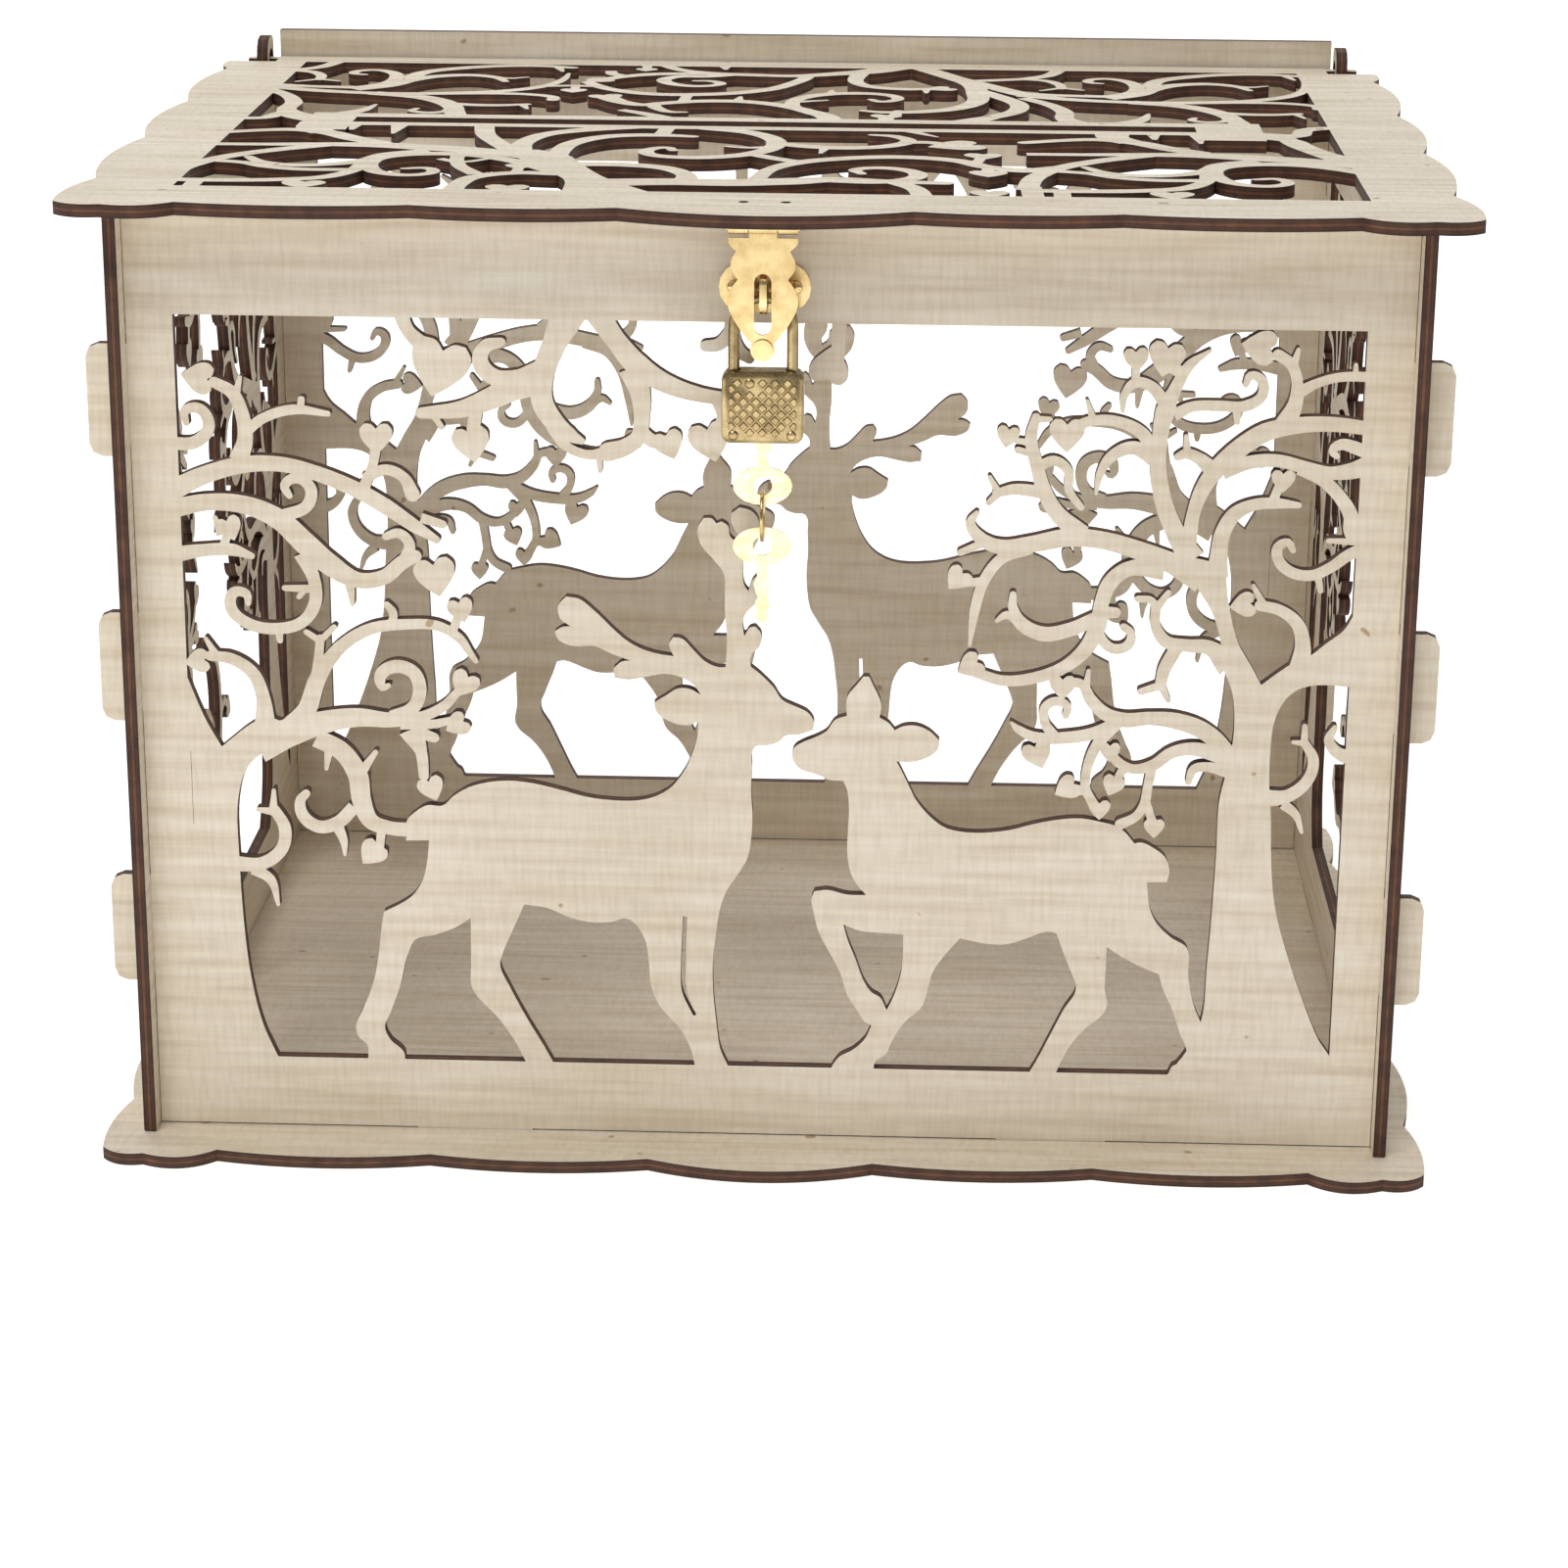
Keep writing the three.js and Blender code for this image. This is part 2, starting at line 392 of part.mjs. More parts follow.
/** The scrolls that appear twice, scrollRepeat apart. */
function lidScrolls() {
  return [
    // Behind the card slot.
    twig([[-139, 168, 5], [-128, 162.5, 5], [-116, 159, 4.6], [-104, 157.5, 4.6], [-92, 159, 4.6],
      [-80, 162.5, 4.4], [-71, 168.5, 4], [-65, 177, 3.2], [-62.5, 187, 2.4], [-62, 198, 1]]),
    twig([[-110, 158, 6], [-98, 153, 6], [-91, 146, 6], [-87, 138, 5.5], [-85, 129, 5], [-84, 121, 6]]),
    twig([[-89, 142, 4], [-82, 139.8, 4], [-74, 139.8, 3.6], [-68, 141.8, 2.8]]),
    twig([[-95, 158, 4], [-80, 160, 4], [-69, 159, 3.6], [-62.5, 155, 3.2], [-62, 150, 3.4]]),
    twig([[-116, 164.5, 6], [-107.5, 172, 5], [-103, 182, 5], [-97, 189.5, 5], [-88, 192.5, 4.4],
      [-81, 189, 3.4], [-77.5, 181.5, 2]]),
    twig([[-104, 184, 5], [-101, 197, 4.6], [-93, 205, 5], [-82, 210.5, 4.6], [-70, 211.5, 4],
      [-62, 209, 3.4]]),
    twig([[-138, 197, 4], [-131, 204, 4], [-127, 216, 4]]),
    twig([[-116, 166, 5], [-109, 175, 4.4], [-107.5, 187, 4], [-110, 196, 3.6], [-115, 200, 3.2],
      [-119.5, 197.5, 3], [-119.5, 192.5, 2.8], [-116.8, 191.2, 2.2]]),
    twig([[-139, 171, 5], [-128, 168.5, 4], [-116, 167.5, 4.4]]),
    twig([[-139, 198, 3.6], [-131.5, 195, 3.4], [-128, 188, 3], [-127.5, 181, 2.6]]),
    twig([[-138, 163, 4], [-131.5, 152, 4], [-128, 140, 4.6], [-128, 128, 5], [-124, 119, 8],
      [-116, 112, 10]]),
    // In front of it.
    twig([[-139, 72.5, 4], [-125, 73, 4], [-112, 74, 5], [-98, 74, 7], [-84, 71, 8.6], [-70, 66.5, 8],
      [-58, 60, 8]]),
    twig([[-96, 76, 6], [-105, 84, 6], [-112, 92, 6], [-121, 96, 4.6], [-130, 94, 4], [-139, 90, 4]]),
    twig([[-75, 107, 5], [-73, 92, 5], [-69, 80, 5], [-64, 67, 5]]),
    twig([[-84, 66, 6], [-93, 60, 5.6], [-97.5, 51, 5], [-104, 45.5, 4], [-113, 43.5, 4], [-121, 47, 3.6],
      [-125.5, 54.5, 2.4]]),
    twig([[-134, 49, 3.6], [-125, 46, 3.6], [-119, 41, 4], [-110, 37.8, 4], [-99, 38, 4]]),
    twig([[-95.5, 55, 5], [-95.5, 44, 4.6], [-91, 34, 4], [-84, 31.5, 3.6], [-79.5, 35.5, 3.2],
      [-81.5, 41.5, 3], [-86.5, 40.5, 2.2]]),
    twig([[-96.5, 47, 4], [-93, 57, 4.6], [-84, 62, 5], [-73, 61, 5], [-64, 55, 5], [-57, 47, 5],
      [-50, 38, 6]]),
    twig([[-97, 48, 4], [-98.5, 36, 4], [-104, 27, 4.6], [-114, 23, 4.6], [-126, 21.5, 4.6],
      [-139, 21.5, 4.6]]),
    twig([[-140, 22, 5], [-137.5, 40, 5], [-131, 54, 5], [-122, 64, 5], [-110, 73, 5]]),
  ];
}

/** The scrolls in the middle of the lid, behind the card slot. */
function lidMiddleRear() {
  return [
    twig([[-56, 183, 3.5], [-52, 175, 4], [-48, 169.5, 4], [-39, 163, 4.6], [-27, 162, 5], [-15, 166, 5],
      [-6, 174, 4.6], [-1, 184, 4], [2, 193, 4], [3, 200, 4]]),
    twig([[-54, 184, 5], [-48, 192, 4], [-40, 198, 5], [-30, 200, 4.6], [-15, 199.5, 4], [0, 198.5, 5],
      [10, 203, 6], [20, 209, 8], [27, 217, 9]]),
    twig([[-18, 199, 4], [-24, 195.5, 4], [-32, 194.5, 4], [-35.5, 188, 4], [-32, 180, 4],
      [-25, 177.5, 3.5],
      [-20, 182, 3.2], [-23, 187, 3], [-27, 187, 2.2]]),
    twig([[-38, 217, 3.4], [-31, 206, 4], [-22, 201, 4.6], [-10, 199, 5]]),
    twig([[-48, 155, 6], [-44, 148, 5], [-38, 143.5, 4.4], [-33, 146.5, 4.6], [-23, 151, 5], [-12, 151, 5],
      [-2, 145, 5], [5, 136, 5], [10, 127, 6], [11, 120, 6]]),
    twig([[33, 217, 6], [40, 203, 6], [47, 187, 6], [48.5, 170, 6], [48, 155, 5.6], [43, 144, 5],
      [34, 137.5, 4.6], [24, 136, 3.6], [19, 138, 2.4]]),
    twig([[44, 197, 4], [50, 187, 5], [57, 175, 6], [62, 168, 6], [70, 163, 5]]),
    twig([[49, 176, 4], [55, 163, 5], [59, 152, 5], [58, 140, 5], [52, 130, 5], [44, 120, 8]]),
    twig([[17, 206, 5], [16.5, 187, 4], [21, 179.5, 4], [30, 176.5, 4], [37, 178, 3]]),
    twig([[7, 131, 4], [1, 143, 4], [1.5, 156, 4], [8, 165, 4.6], [17, 168, 4.6], [25.5, 165, 3.6],
      [27.5, 158, 3.2], [23.5, 154, 3], [20.6, 157.5, 2]]),
    twig([[117, 106, 8], [127, 106, 5], [130, 115, 4.6], [134, 118, 4.6], [139, 119, 5]]),
    twig([[117, 104, 6], [125, 98, 5], [128, 88, 5], [133, 76, 5], [139, 69, 5]]),
  ];
}

/** The tree and scrolls in the middle of the lid, in front of the card slot. */
function lidMiddleFront() {
  return [
    smooth([[-47, 11], [-48, 28], [-53, 40], [-61, 56], [-66, 68], [-58, 70], [-50, 62], [-47, 54],
      [-43, 42],
      [-38, 30], [-26, 11]], true),
    twig([[-46, 36, 6], [-51, 50, 5], [-52.5, 68, 5], [-50, 82, 5], [-42, 92, 5], [-30, 94.5, 4.6],
      [-22, 93, 3]]),
    twig([[-62, 66, 6], [-62.5, 80, 5], [-58, 94, 5], [-48, 102, 6], [-36, 107, 5]]),
    twig([[-20, 107, 6], [-8, 100, 5], [-1.5, 88, 5], [-3, 74, 5], [-11, 64.5, 5], [-22, 61.5, 4.6],
      [-30.5, 65, 4], [-31.5, 72, 3.6], [-27.5, 75.5, 3], [-25.5, 71.5, 2.2]]),
    twig([[-69, 34, 4], [-74, 45, 3.6], [-76, 56, 3.4], [-76, 63, 4]]),
    twig([[-50, 36, 5], [-60, 36.5, 4.6], [-69, 30, 4.6], [-71.5, 20, 4.6], [-72, 10, 5]]),
    twig([[-48, 50, 6], [-36, 50, 5.6], [-26, 46, 5], [-20.5, 37, 4.6], [-20, 27, 6]]),
    twig([[-44, 24, 10], [-24, 27, 9], [-8, 27, 9], [5, 30, 9], [15, 33, 6], [28, 31, 5], [40, 30, 4]]),
    twig([[-4, 28, 5], [-3, 36, 4], [-1, 46, 4], [5, 56, 5], [16, 63, 5], [30, 66, 5], [43, 61.5, 5],
      [50, 53, 5], [59, 49, 6], [66, 53, 5]]),
    twig([[10, 32, 5], [26, 31, 5], [33, 37, 4.6], [32.5, 45, 4.2], [25, 50, 4], [19, 47, 3.4],
      [20.5, 41.5, 2.4]]),
    twig([[-3, 86, 4], [4, 81, 4.6], [15, 78.5, 5], [26, 82, 4.6], [31, 90, 4], [27, 97.5, 3.6],
      [22, 99, 2.4]]),
    twig([[28, 31, 5], [33, 22, 4.6], [35, 10, 5]]),
  ];
}

// ---------------------------------------------------------------- panels
const sideTabs = [[41, 68], [106.5, 133], [170.5, 197]]; // bottom and top of each tab
const footTabs = [[-84, -56], [56.5, 83]]; // along the front and back panels
const sideFootTabs = [[40, 70], [165, 195]]; // along the side panels, from the front edge
const tabReach = 156.5; // how far a side tab stands out from the middle
const hookDrop = 2.2; // each side tab hooks down behind its slot
const panelHalf = sideInner - slack;
const panelBottom = baseTop + gap;
const slotBefore = inset - slack; // the front slots, from the front edge
const slotWide = ply + 2 * slack;

/** A side tab of the right-hand edge: it drops behind its slot and has round outer corners. */
function sideTab([bottom, top]) {
  const root = boxWidth / 2 + slack;
  const corner = 3;
  const reach = tabReach;
  return [
    [panelHalf - 1, bottom + hookDrop], [root, bottom + hookDrop], [root, bottom], [reach - corner, bottom],
    [reach - 0.9, bottom + 0.9], [reach, bottom + corner], [reach, top - corner], [reach - 0.9, top - 0.9],
    [reach - corner, top], [panelHalf - 1, top],
  ];
}

const footTab = ([from, to]) => rectangle(from, 0, to, panelBottom + 1);

/** Solid of an upright scene panel, front or back: frame, trees, vines and the two deer. */
function scenePanel(outerTop) {
  const tabs = sideTabs.map(sideTab);
  const board = [
    rectangle(-panelHalf, panelBottom, panelHalf, wallTop),
    ...outerTop,
    ...tabs,
    ...tabs.map(mirroredX),
    ...footTabs.map(footTab),
  ];
  const opening = slab(rectangle(-windowHalf, groundLine, windowHalf, windowTop));
  const lip = 2; // the picture runs this far into the frame
  const field = slab(rectangle(-windowHalf - lip, groundLine - lip, windowHalf + lip, windowTop + lip));
  const drawn = [...leftTree(), ...rightTree(), ...hangingVines(), ...buck(), ...doe()];
  const picture = joined(drawn.map((o) => slab(o)));
  const cutPicture = picture.subtract(joined(sceneSlits().map((o) => slab(o)))).intersect(field);
  return joined(board.map((o) => slab(o))).subtract(opening).add(cutPicture);
}

function frontPanel() {
  const screwHoles = stapleScrews.map((x) => slab(disc(lock.x + x, lock.stapleZ, screw.hole)));
  return plateFrom(scenePanel([]).subtract(joined(screwHoles)));
}

function backPanel() {
  const rail = rectangle(-146.4, wallTop - 1, 145, backTop);
  return plateFrom(scenePanel([rail]));
}

const sideWindow = { front: 14, back: 214, bottom: 22, top: windowTop };

/** A side panel, drawn in [distance from the front edge, z]. */
function sidePanel() {
  const ear = [
    [215.6, wallTop - 1], [215.6, 233.2], [216.3, 235.8], [218.1, 237.6], [220.6, 238.2], [223.8, 238.2],
    [225.2, 237.6], [225.8, 236.2], [225.8, wallTop - 1],
  ];
  const vines = [
    twig([[101, 207, 7], [99, 197, 4.6], [94, 190, 3.6], [86, 186, 3], [80, 187, 2.4]]),
    twig([[99, 198, 4], [106, 191, 3.6], [114, 189, 3], [119, 192, 2.4], [118, 197, 1.8]]),
    twig([[100, 19, 9], [98.5, 34, 6], [101, 50, 5], [99, 66, 4.4], [94, 78, 3.6], [86, 83, 3],
      [80.5, 80, 2.6],
      [81, 74.5, 2.2], [85, 73.5, 1.6]]),
    twig([[100, 62, 4], [106, 72, 3.4], [107, 84, 3], [103, 93, 2.8], [97, 96, 2.4]]),
    twig([[99, 38, 4], [90, 44, 3.4], [80, 43, 3], [73, 48, 2.6]]),
    twig([[100.5, 46, 4], [110, 51, 3.4], [119, 50, 3], [127, 55, 2.6]]),
  ];
  const leftShift = sideWindow.front + windowHalf;
  const rightShift = sideWindow.back - windowHalf;
  const trees = [...moved(leftTree(), leftShift, 0), ...moved(rightTree(), rightShift, 0), ...vines];
  const { front, back, bottom, top } = sideWindow;
  const field = slab(rectangle(front - 2, bottom - 2, back + 2, top + 2));
  const board = [
    rectangle(0, panelBottom, boxDepth, wallTop),
    ear,
    ...sideFootTabs.map(footTab),
  ];
  const tabSlots = sideTabs.flatMap(([from, to]) => [slotBefore, boxDepth - slotBefore - slotWide].map((y) =>
    rectangle(y, from + hookDrop - slack, y + slotWide, to + hookDrop + slack)));
  const hingeHole = disc(hinge.y - frontEdge, hinge.z, hinge.holeRadius);
  return plateFrom(
    joined(board.map((o) => slab(o)))
      .subtract(slab(rectangle(front, bottom, back, top)))
      .add(joined(trees.map((o) => slab(o))).intersect(field))
      .subtract(joined([...tabSlots, hingeHole].map((o) => slab(o)))),
  );
}

/** Arcs that bulge outwards from cusp to cusp, each [x, y, bulge to the next cusp]. */
function scallops(cusps) {
  const outline = [];
  cusps.forEach(([x, y, bulge], i) => {
    const [nextX, nextY] = cusps[(i + 1) % cusps.length];
    const [dx, dy] = unit([x, y], [nextX, nextY]);
    const steps = bulge > 0 ? 10 : 1;
    for (let k = 0; k < steps; k++) {
      const t = k / steps;
      const out = 4 * bulge * t * (1 - t);
      const { lerp } = THREE.MathUtils;
      outline.push([lerp(x, nextX, t) + dy * out, lerp(y, nextY, t) - dx * out]);
    }
  });
  return outline;
}

/** The base: a scalloped plate with slots for the panels' feet, the same at front and back. */
function basePlate() {
  const half = [
    [26.9, -10, 3], [79.2, -10, 3], [130.6, -10, 3.4],
  ];
  const corner = [[148, -13, 2], [158.2, -9.5, 1.6], [156.4, 20.3, 3.2]];
  const side = [[156.4, 69, 3.2], [156.4, boxDepth - 69, 3.2]];
  const quarter = [...half, ...corner, ...side];
  const rear = [
    [156.4, boxDepth - 20.3, 1.6], [158.2, boxDepth + 9.5, 2], [148, boxDepth + 13, 3.4],
    [130.6, boxDepth + 10, 3], [79.2, boxDepth + 10, 3], [26.9, boxDepth + 10, 6],
  ];
  const rightHalf = [...quarter, ...rear];
  const leftHalf = rightHalf.map(([x, y]) => [-x, y]).reverse();
  const bulges = rightHalf.map(([, , bulge]) => bulge);
  const leftBulges = [...bulges.slice(0, -1).reverse(), 6];
  const cusps = [...rightHalf, ...leftHalf.map(([x, y], i) => [x, y, leftBulges[i]])];
  const slots = footTabs.flatMap(([from, to]) => [slotBefore, boxDepth - slotBefore - slotWide].map((y) =>
    rectangle(from - slack, y, to + slack, y + slotWide)));
  const sideSlots = sideFootTabs.flatMap(([from, to]) => [-1, 1].map((side) => {
    const middle = side * (boxWidth - ply) / 2;
    return rectangle(middle - slotWide / 2, from - slack, middle + slotWide / 2, to + slack);
  }));
  const mirroredSlots = slots.map((slot) => (slot[0][1] > boxDepth / 2 ? mirroredX(slot) : slot));
  return plate([scallops(cusps)], [...mirroredSlots, ...sideSlots]);
}

const cardSlot = rectangle(-108.5, 109.5, 102.5, 117.5);
const scrollRepeat = 198.5;

/** The lid: a scalloped plate with scrollwork, the card slot and its own two hinge pins. */
function lidPlate() {
  const rightFront = [
    [33, -8, 3], [79.5, -8, 3], [132, -8, 3], [148, -12, 2], [159, -8.5, 2], [155.5, 22, 3.5],
    [155.5, 82, 3.5], [155.5, 141, 3.5], [155.5, 200, 1.4],
  ];
  const pinEnd = 153;
  const rightRear = [
    [157.5, 214.2, 0], [144.6, 214.2, 0], [144.6, 219.7, 0], [pinEnd, 219.7, 0],
    [pinEnd, 223.5, 0], [144.6, 223.5, 0], [144.6, 224.9, 0],
  ];
  const right = [...rightFront, ...rightRear];
  const bulges = right.map(([, , bulge]) => bulge).slice(0, -1).reverse();
  const left = right.map(([x, y]) => [-x, y]).reverse().map(([x, y], i) => [x, y, bulges[i] ?? 8]);
  const outline = scallops([...right, ...left]);
  const window = { front: 13.5, back: 214 };
  const field = slab(rectangle(-windowHalf - 2, window.front - 2, windowHalf + 2, window.back + 2));
  const bars = [
    rectangle(-120, 104.5, 119, 109.5), rectangle(-120, 117.5, 119, 123.5),
    rectangle(-120, 97, -108.5, 124), rectangle(102.5, 97, 119, 124),
  ];
  const scrolls = [
    ...lidScrolls(), ...moved(lidScrolls(), scrollRepeat, 0),
    ...lidMiddleRear(), ...lidMiddleFront(), ...bars,
  ];
  const screwHoles = leafScrews.map((x) => disc(lock.x + x, leafScrewY - frontEdge, screw.hole));
  return plateFrom(
    slab(outline)
      .subtract(slab(rectangle(-windowHalf, window.front, windowHalf, window.back)))
      .add(joined(scrolls.map((o) => slab(o))).intersect(field))
      .subtract(joined([cardSlot, ...screwHoles].map((o) => slab(o)))),
    lidTolerance,
  );
}

// ---------------------------------------------------------------- brass fittings
const sheet = 0.8; // brass sheet thickness
const screw = { shank: 0.9, hole: 1.2, head: 1.7, headHeight: 0.8, length: 3.4 };
const stapleScrews = [-6.9, 6.9];
const leafScrews = [-4.75, 4.75];
const hasp = { pinY: frontEdge - 5.8, pinZ: 227.6, half: 7.75, knuckle: 1.2, pin: 0.6, bore: 0.8 };
const leafScrewY = frontEdge + 1.7;
const eye = { tip: 9.9, hole: 2.3, holeAt: 6.6, thick: 1.6, half: 4.75 };
const staplePlate = { front: frontEdge + inset - gap - sheet, long: 21, high: 11.5 };

function box(x0, y0, z0, x1, y1, z1) {
  const block = new THREE.BoxGeometry(x1 - x0, y1 - y0, z1 - z0);
  return toManifold(block.translate((x0 + x1) / 2, (y0 + y1) / 2, (z0 + z1) / 2));
}

/** A cylinder along X, Y or Z from one end to the other. */
function rod(axis, radius, from, to, a, b, sides = 14) {
  const length = to - from;
  const geometry = new THREE.CylinderGeometry(radius, radius, length, sides);
  const middle = (from + to) / 2;
  if (axis === 'x') geometry.rotateZ(Math.PI / 2).translate(middle, a, b);
  if (axis === 'y') geometry.translate(a, middle, b);
  if (axis === 'z') geometry.rotateX(Math.PI / 2).translate(a, b, middle);
  return toManifold(geometry);
}

/** A round-head screw along +Z, its head's underside at z = 0 and its shank above it. */
function screwGeometry() {
  const { shank, head, headHeight, length } = screw;
  const profile = [
    [0, -headHeight], [head * 0.55, -headHeight * 0.88], [head * 0.86, -headHeight * 0.5], [head, 0],
    [shank, 0], [shank, length - 0.8], [0, length],
  ];
  const outline = profile.map(([x, y]) => new THREE.Vector2(x, y));
  const turned = new THREE.LatheGeometry(outline, 12).rotateX(Math.PI / 2);
  const slotWidth = 0.4;
  const driverSlot = box(-head, -slotWidth / 2, -headHeight - 0.1, head, slotWidth / 2, -headHeight * 0.55);
  return toGeometry(toManifold(turned).subtract(driverSlot));
}

/** Points along an arc, its angles in degrees. */
function arc(x, y, radius, from, to, steps = 6) {
  return Array.from({ length: steps + 1 }, (_, i) => {
    const angle = THREE.MathUtils.degToRad(THREE.MathUtils.lerp(from, to, i / steps));
    return [x + radius * Math.cos(angle), y + radius * Math.sin(angle)];
  });
}

/** A solid of an outline drawn in [x, z], its thickness from y = 0 backwards. */
const sheetSolid = (outline, thickness) => toManifold(
  extrude(new THREE.Shape(outline.map(([x, y]) => new THREE.Vector2(x, y))), thickness)
    .rotateX(Math.PI / 2)
    .translate(0, thickness, 0),
);

/** The staple: a round-ended plate with an upright eye that stands out from it. */
function staple() {
  const { long, high } = staplePlate;
  const end = high / 2;
  const reach = long / 2 - end;
  const flat = sheetSolid([...arc(reach, 0, end, -90, 90, 8), ...arc(-reach, 0, end, 90, 270, 8)], sheet);
  const holes = stapleScrews.map((x) => rod('y', screw.hole, -1, sheet + 1, x, 0, 12));
  const round = 2.4;
  const { tip, half, thick } = eye;
  const fin = [

       [0.4, half],
    ...arc(-tip + round, half - round, round, 90, 180), ...arc(-tip + round, round - half, round, 180, 270),
    [0.4, -half],
  ];
  const upright = toManifold(
    extrude(new THREE.Shape(fin.map(([x, y]) => new THREE.Vector2(x, y))), thick)
      .rotateX(Math.PI / 2)
      .rotateZ(Math.PI / 2)
      .translate(-thick / 2, 0, 0),
  );
  const eyeHole = rod('x', eye.hole, -thick, thick, -eye.holeAt, 0);
  return toGeometry([...holes, eyeHole].reduce((solid, hole) => solid.subtract(hole), flat.add(upright)));
}

const knuckleSplit = 3.1; // half the length of the strap's knuckle
const leafTop = lidBottom - gap;

function haspLeaf() {
  const { pinY, pinZ, half, knuckle, bore } = hasp;
  const barrel = rod('x', knuckle, -half, half, pinY, pinZ);
  const flat = box(-half, pinY + 0.2, leafTop - sheet, half, leafScrewY + 3.2, leafTop);
  const middle = knuckleSplit + gap;
  const reliefs = [
    box(-middle, pinY - 2, pinZ - 2, middle, pinY + knuckle + 0.4, leafTop + 1),
    rod('x', bore, -half - 1, half + 1, pinY, pinZ),
    ...leafScrews.map((x) => rod('z', screw.hole, leafTop - 2, leafTop + 1, x, leafScrewY)),
  ];
  return toGeometry(reliefs.reduce((solid, relief) => solid.subtract(relief), flat.add(barrel)));
}

/** The strap: a slotted sheet with two waists between its swellings and a domed finger tip. */
function haspStrap() {
  const { pinY, pinZ, half, knuckle, bore } = hasp;
  const shoulder = pinZ - 2;
  const rightEdge = [
    [half, shoulder], [half, shoulder - 1.2], [6, shoulder - 3], [7.2, shoulder - 5.2],
    [7.1, shoulder - 7.2], [5.6, shoulder - 9.4], [7.4, shoulder - 12],
    [7.9, shoulder - 15], [6.2, shoulder - 19],
    [3.4, shoulder - 23],
  ];
  const tip = { z: shoulder - 25.2, radius: 2.8, dome: 0.7 };
  const rightSide = smooth(rightEdge, false);
  const outline = [
    ...rightSide.map(([x, z]) => [-x, z]),
    ...arc(0, tip.z, tip.radius, 150, 390, 14),
    ...rightSide.reverse(),
    [knuckleSplit, shoulder], [knuckleSplit, pinZ], [-knuckleSplit, pinZ], [-knuckleSplit, shoulder],
  ];
  const slotHalf = 1.95;
  const [slotLow, slotHigh] = [203.6, 217.6];
  const slot = [
    ...arc(0, slotHigh - slotHalf, slotHalf, 0, 180), ...arc(0, slotLow + slotHalf, slotHalf, 180, 360),
  ];
  const dome = rod('y', tip.radius - 0.5, -tip.dome, sheet / 2, 0, tip.z, 20);
  const flat = sheetSolid(outline, sheet).subtract(sheetSolid(slot, 3).translate([0, -1, 0])).add(dome);
  const barrel = rod('x', knuckle, -knuckleSplit, knuckleSplit, pinY, pinZ);
  const whole = flat.translate([0, pinY - sheet / 2, 0]).add(barrel);
  return toGeometry(whole.subtract(rod('x', bore, -half - 1, half + 1, pinY, pinZ)));
}

// The padlock hangs by its shackle in the staple's eye.
const shackle = { wire: 1.35, reach: 6.65, top: 211.55 };
const padlock = { width: 18.6, height: 16.5, depth: 6.5, top: 194.9, bore: 1.65, heel: 13, toe: 5.4 };
const padlockBottom = padlock.top - padlock.height;
const plug = { radius: 2.35, bore: 2.62, top: padlockBottom + 8.6 };
const latch = { bottom: padlock.top - 4.6, top: padlock.top - 2.6, travel: 1 };
const rivets = [[-6.6, padlockBottom + 1.9], [6.6, padlockBottom + 1.9], [-2.9, padlock.top - 2.6]];
const rivet = { shank: 0.7, hole: 0.95, head: 1.2, headHeight: 0.45 };

/** The shackle: a bent round wire, the heel leg longer than the toe leg, with a latch notch in the toe. */
function shackleGeometry() {
  const { wire, reach, top } = shackle;
  const centre = top - reach;
  const path = new THREE.CurvePath();
  const heelEnd = padlock.top - padlock.heel + 1;
  const toeEnd = padlock.top - padlock.toe + 0.4;
  const circle = (k) =>
    new THREE.Vector3(-reach * Math.cos(k * Math.PI), 0, centre + reach * Math.sin(k * Math.PI));
  path.add(new THREE.LineCurve3(new THREE.Vector3(-reach, 0, heelEnd), circle(0)));
  path.add(new THREE.CatmullRomCurve3(Array.from({ length: 13 }, (_, i) => circle(i / 12))));
  path.add(new THREE.LineCurve3(circle(1), new THREE.Vector3(reach, 0, toeEnd)));
  const section = new THREE.Shape();
  section.absarc(0, 0, wire, 0, 2 * Math.PI, false);
  const tube = new THREE.ExtrudeGeometry(section, { steps: 30, curveSegments: 5, extrudePath: path });
  const inner = reach - wire; // the toe leg's inner side
  const notchDeep = 1.15;
  const notch = box(inner - 1, -wire - 1, latch.bottom - gap, inner + notchDeep, wire + 1, latch.top + gap);
  return toGeometry(toManifold(tube).subtract(notch));
}

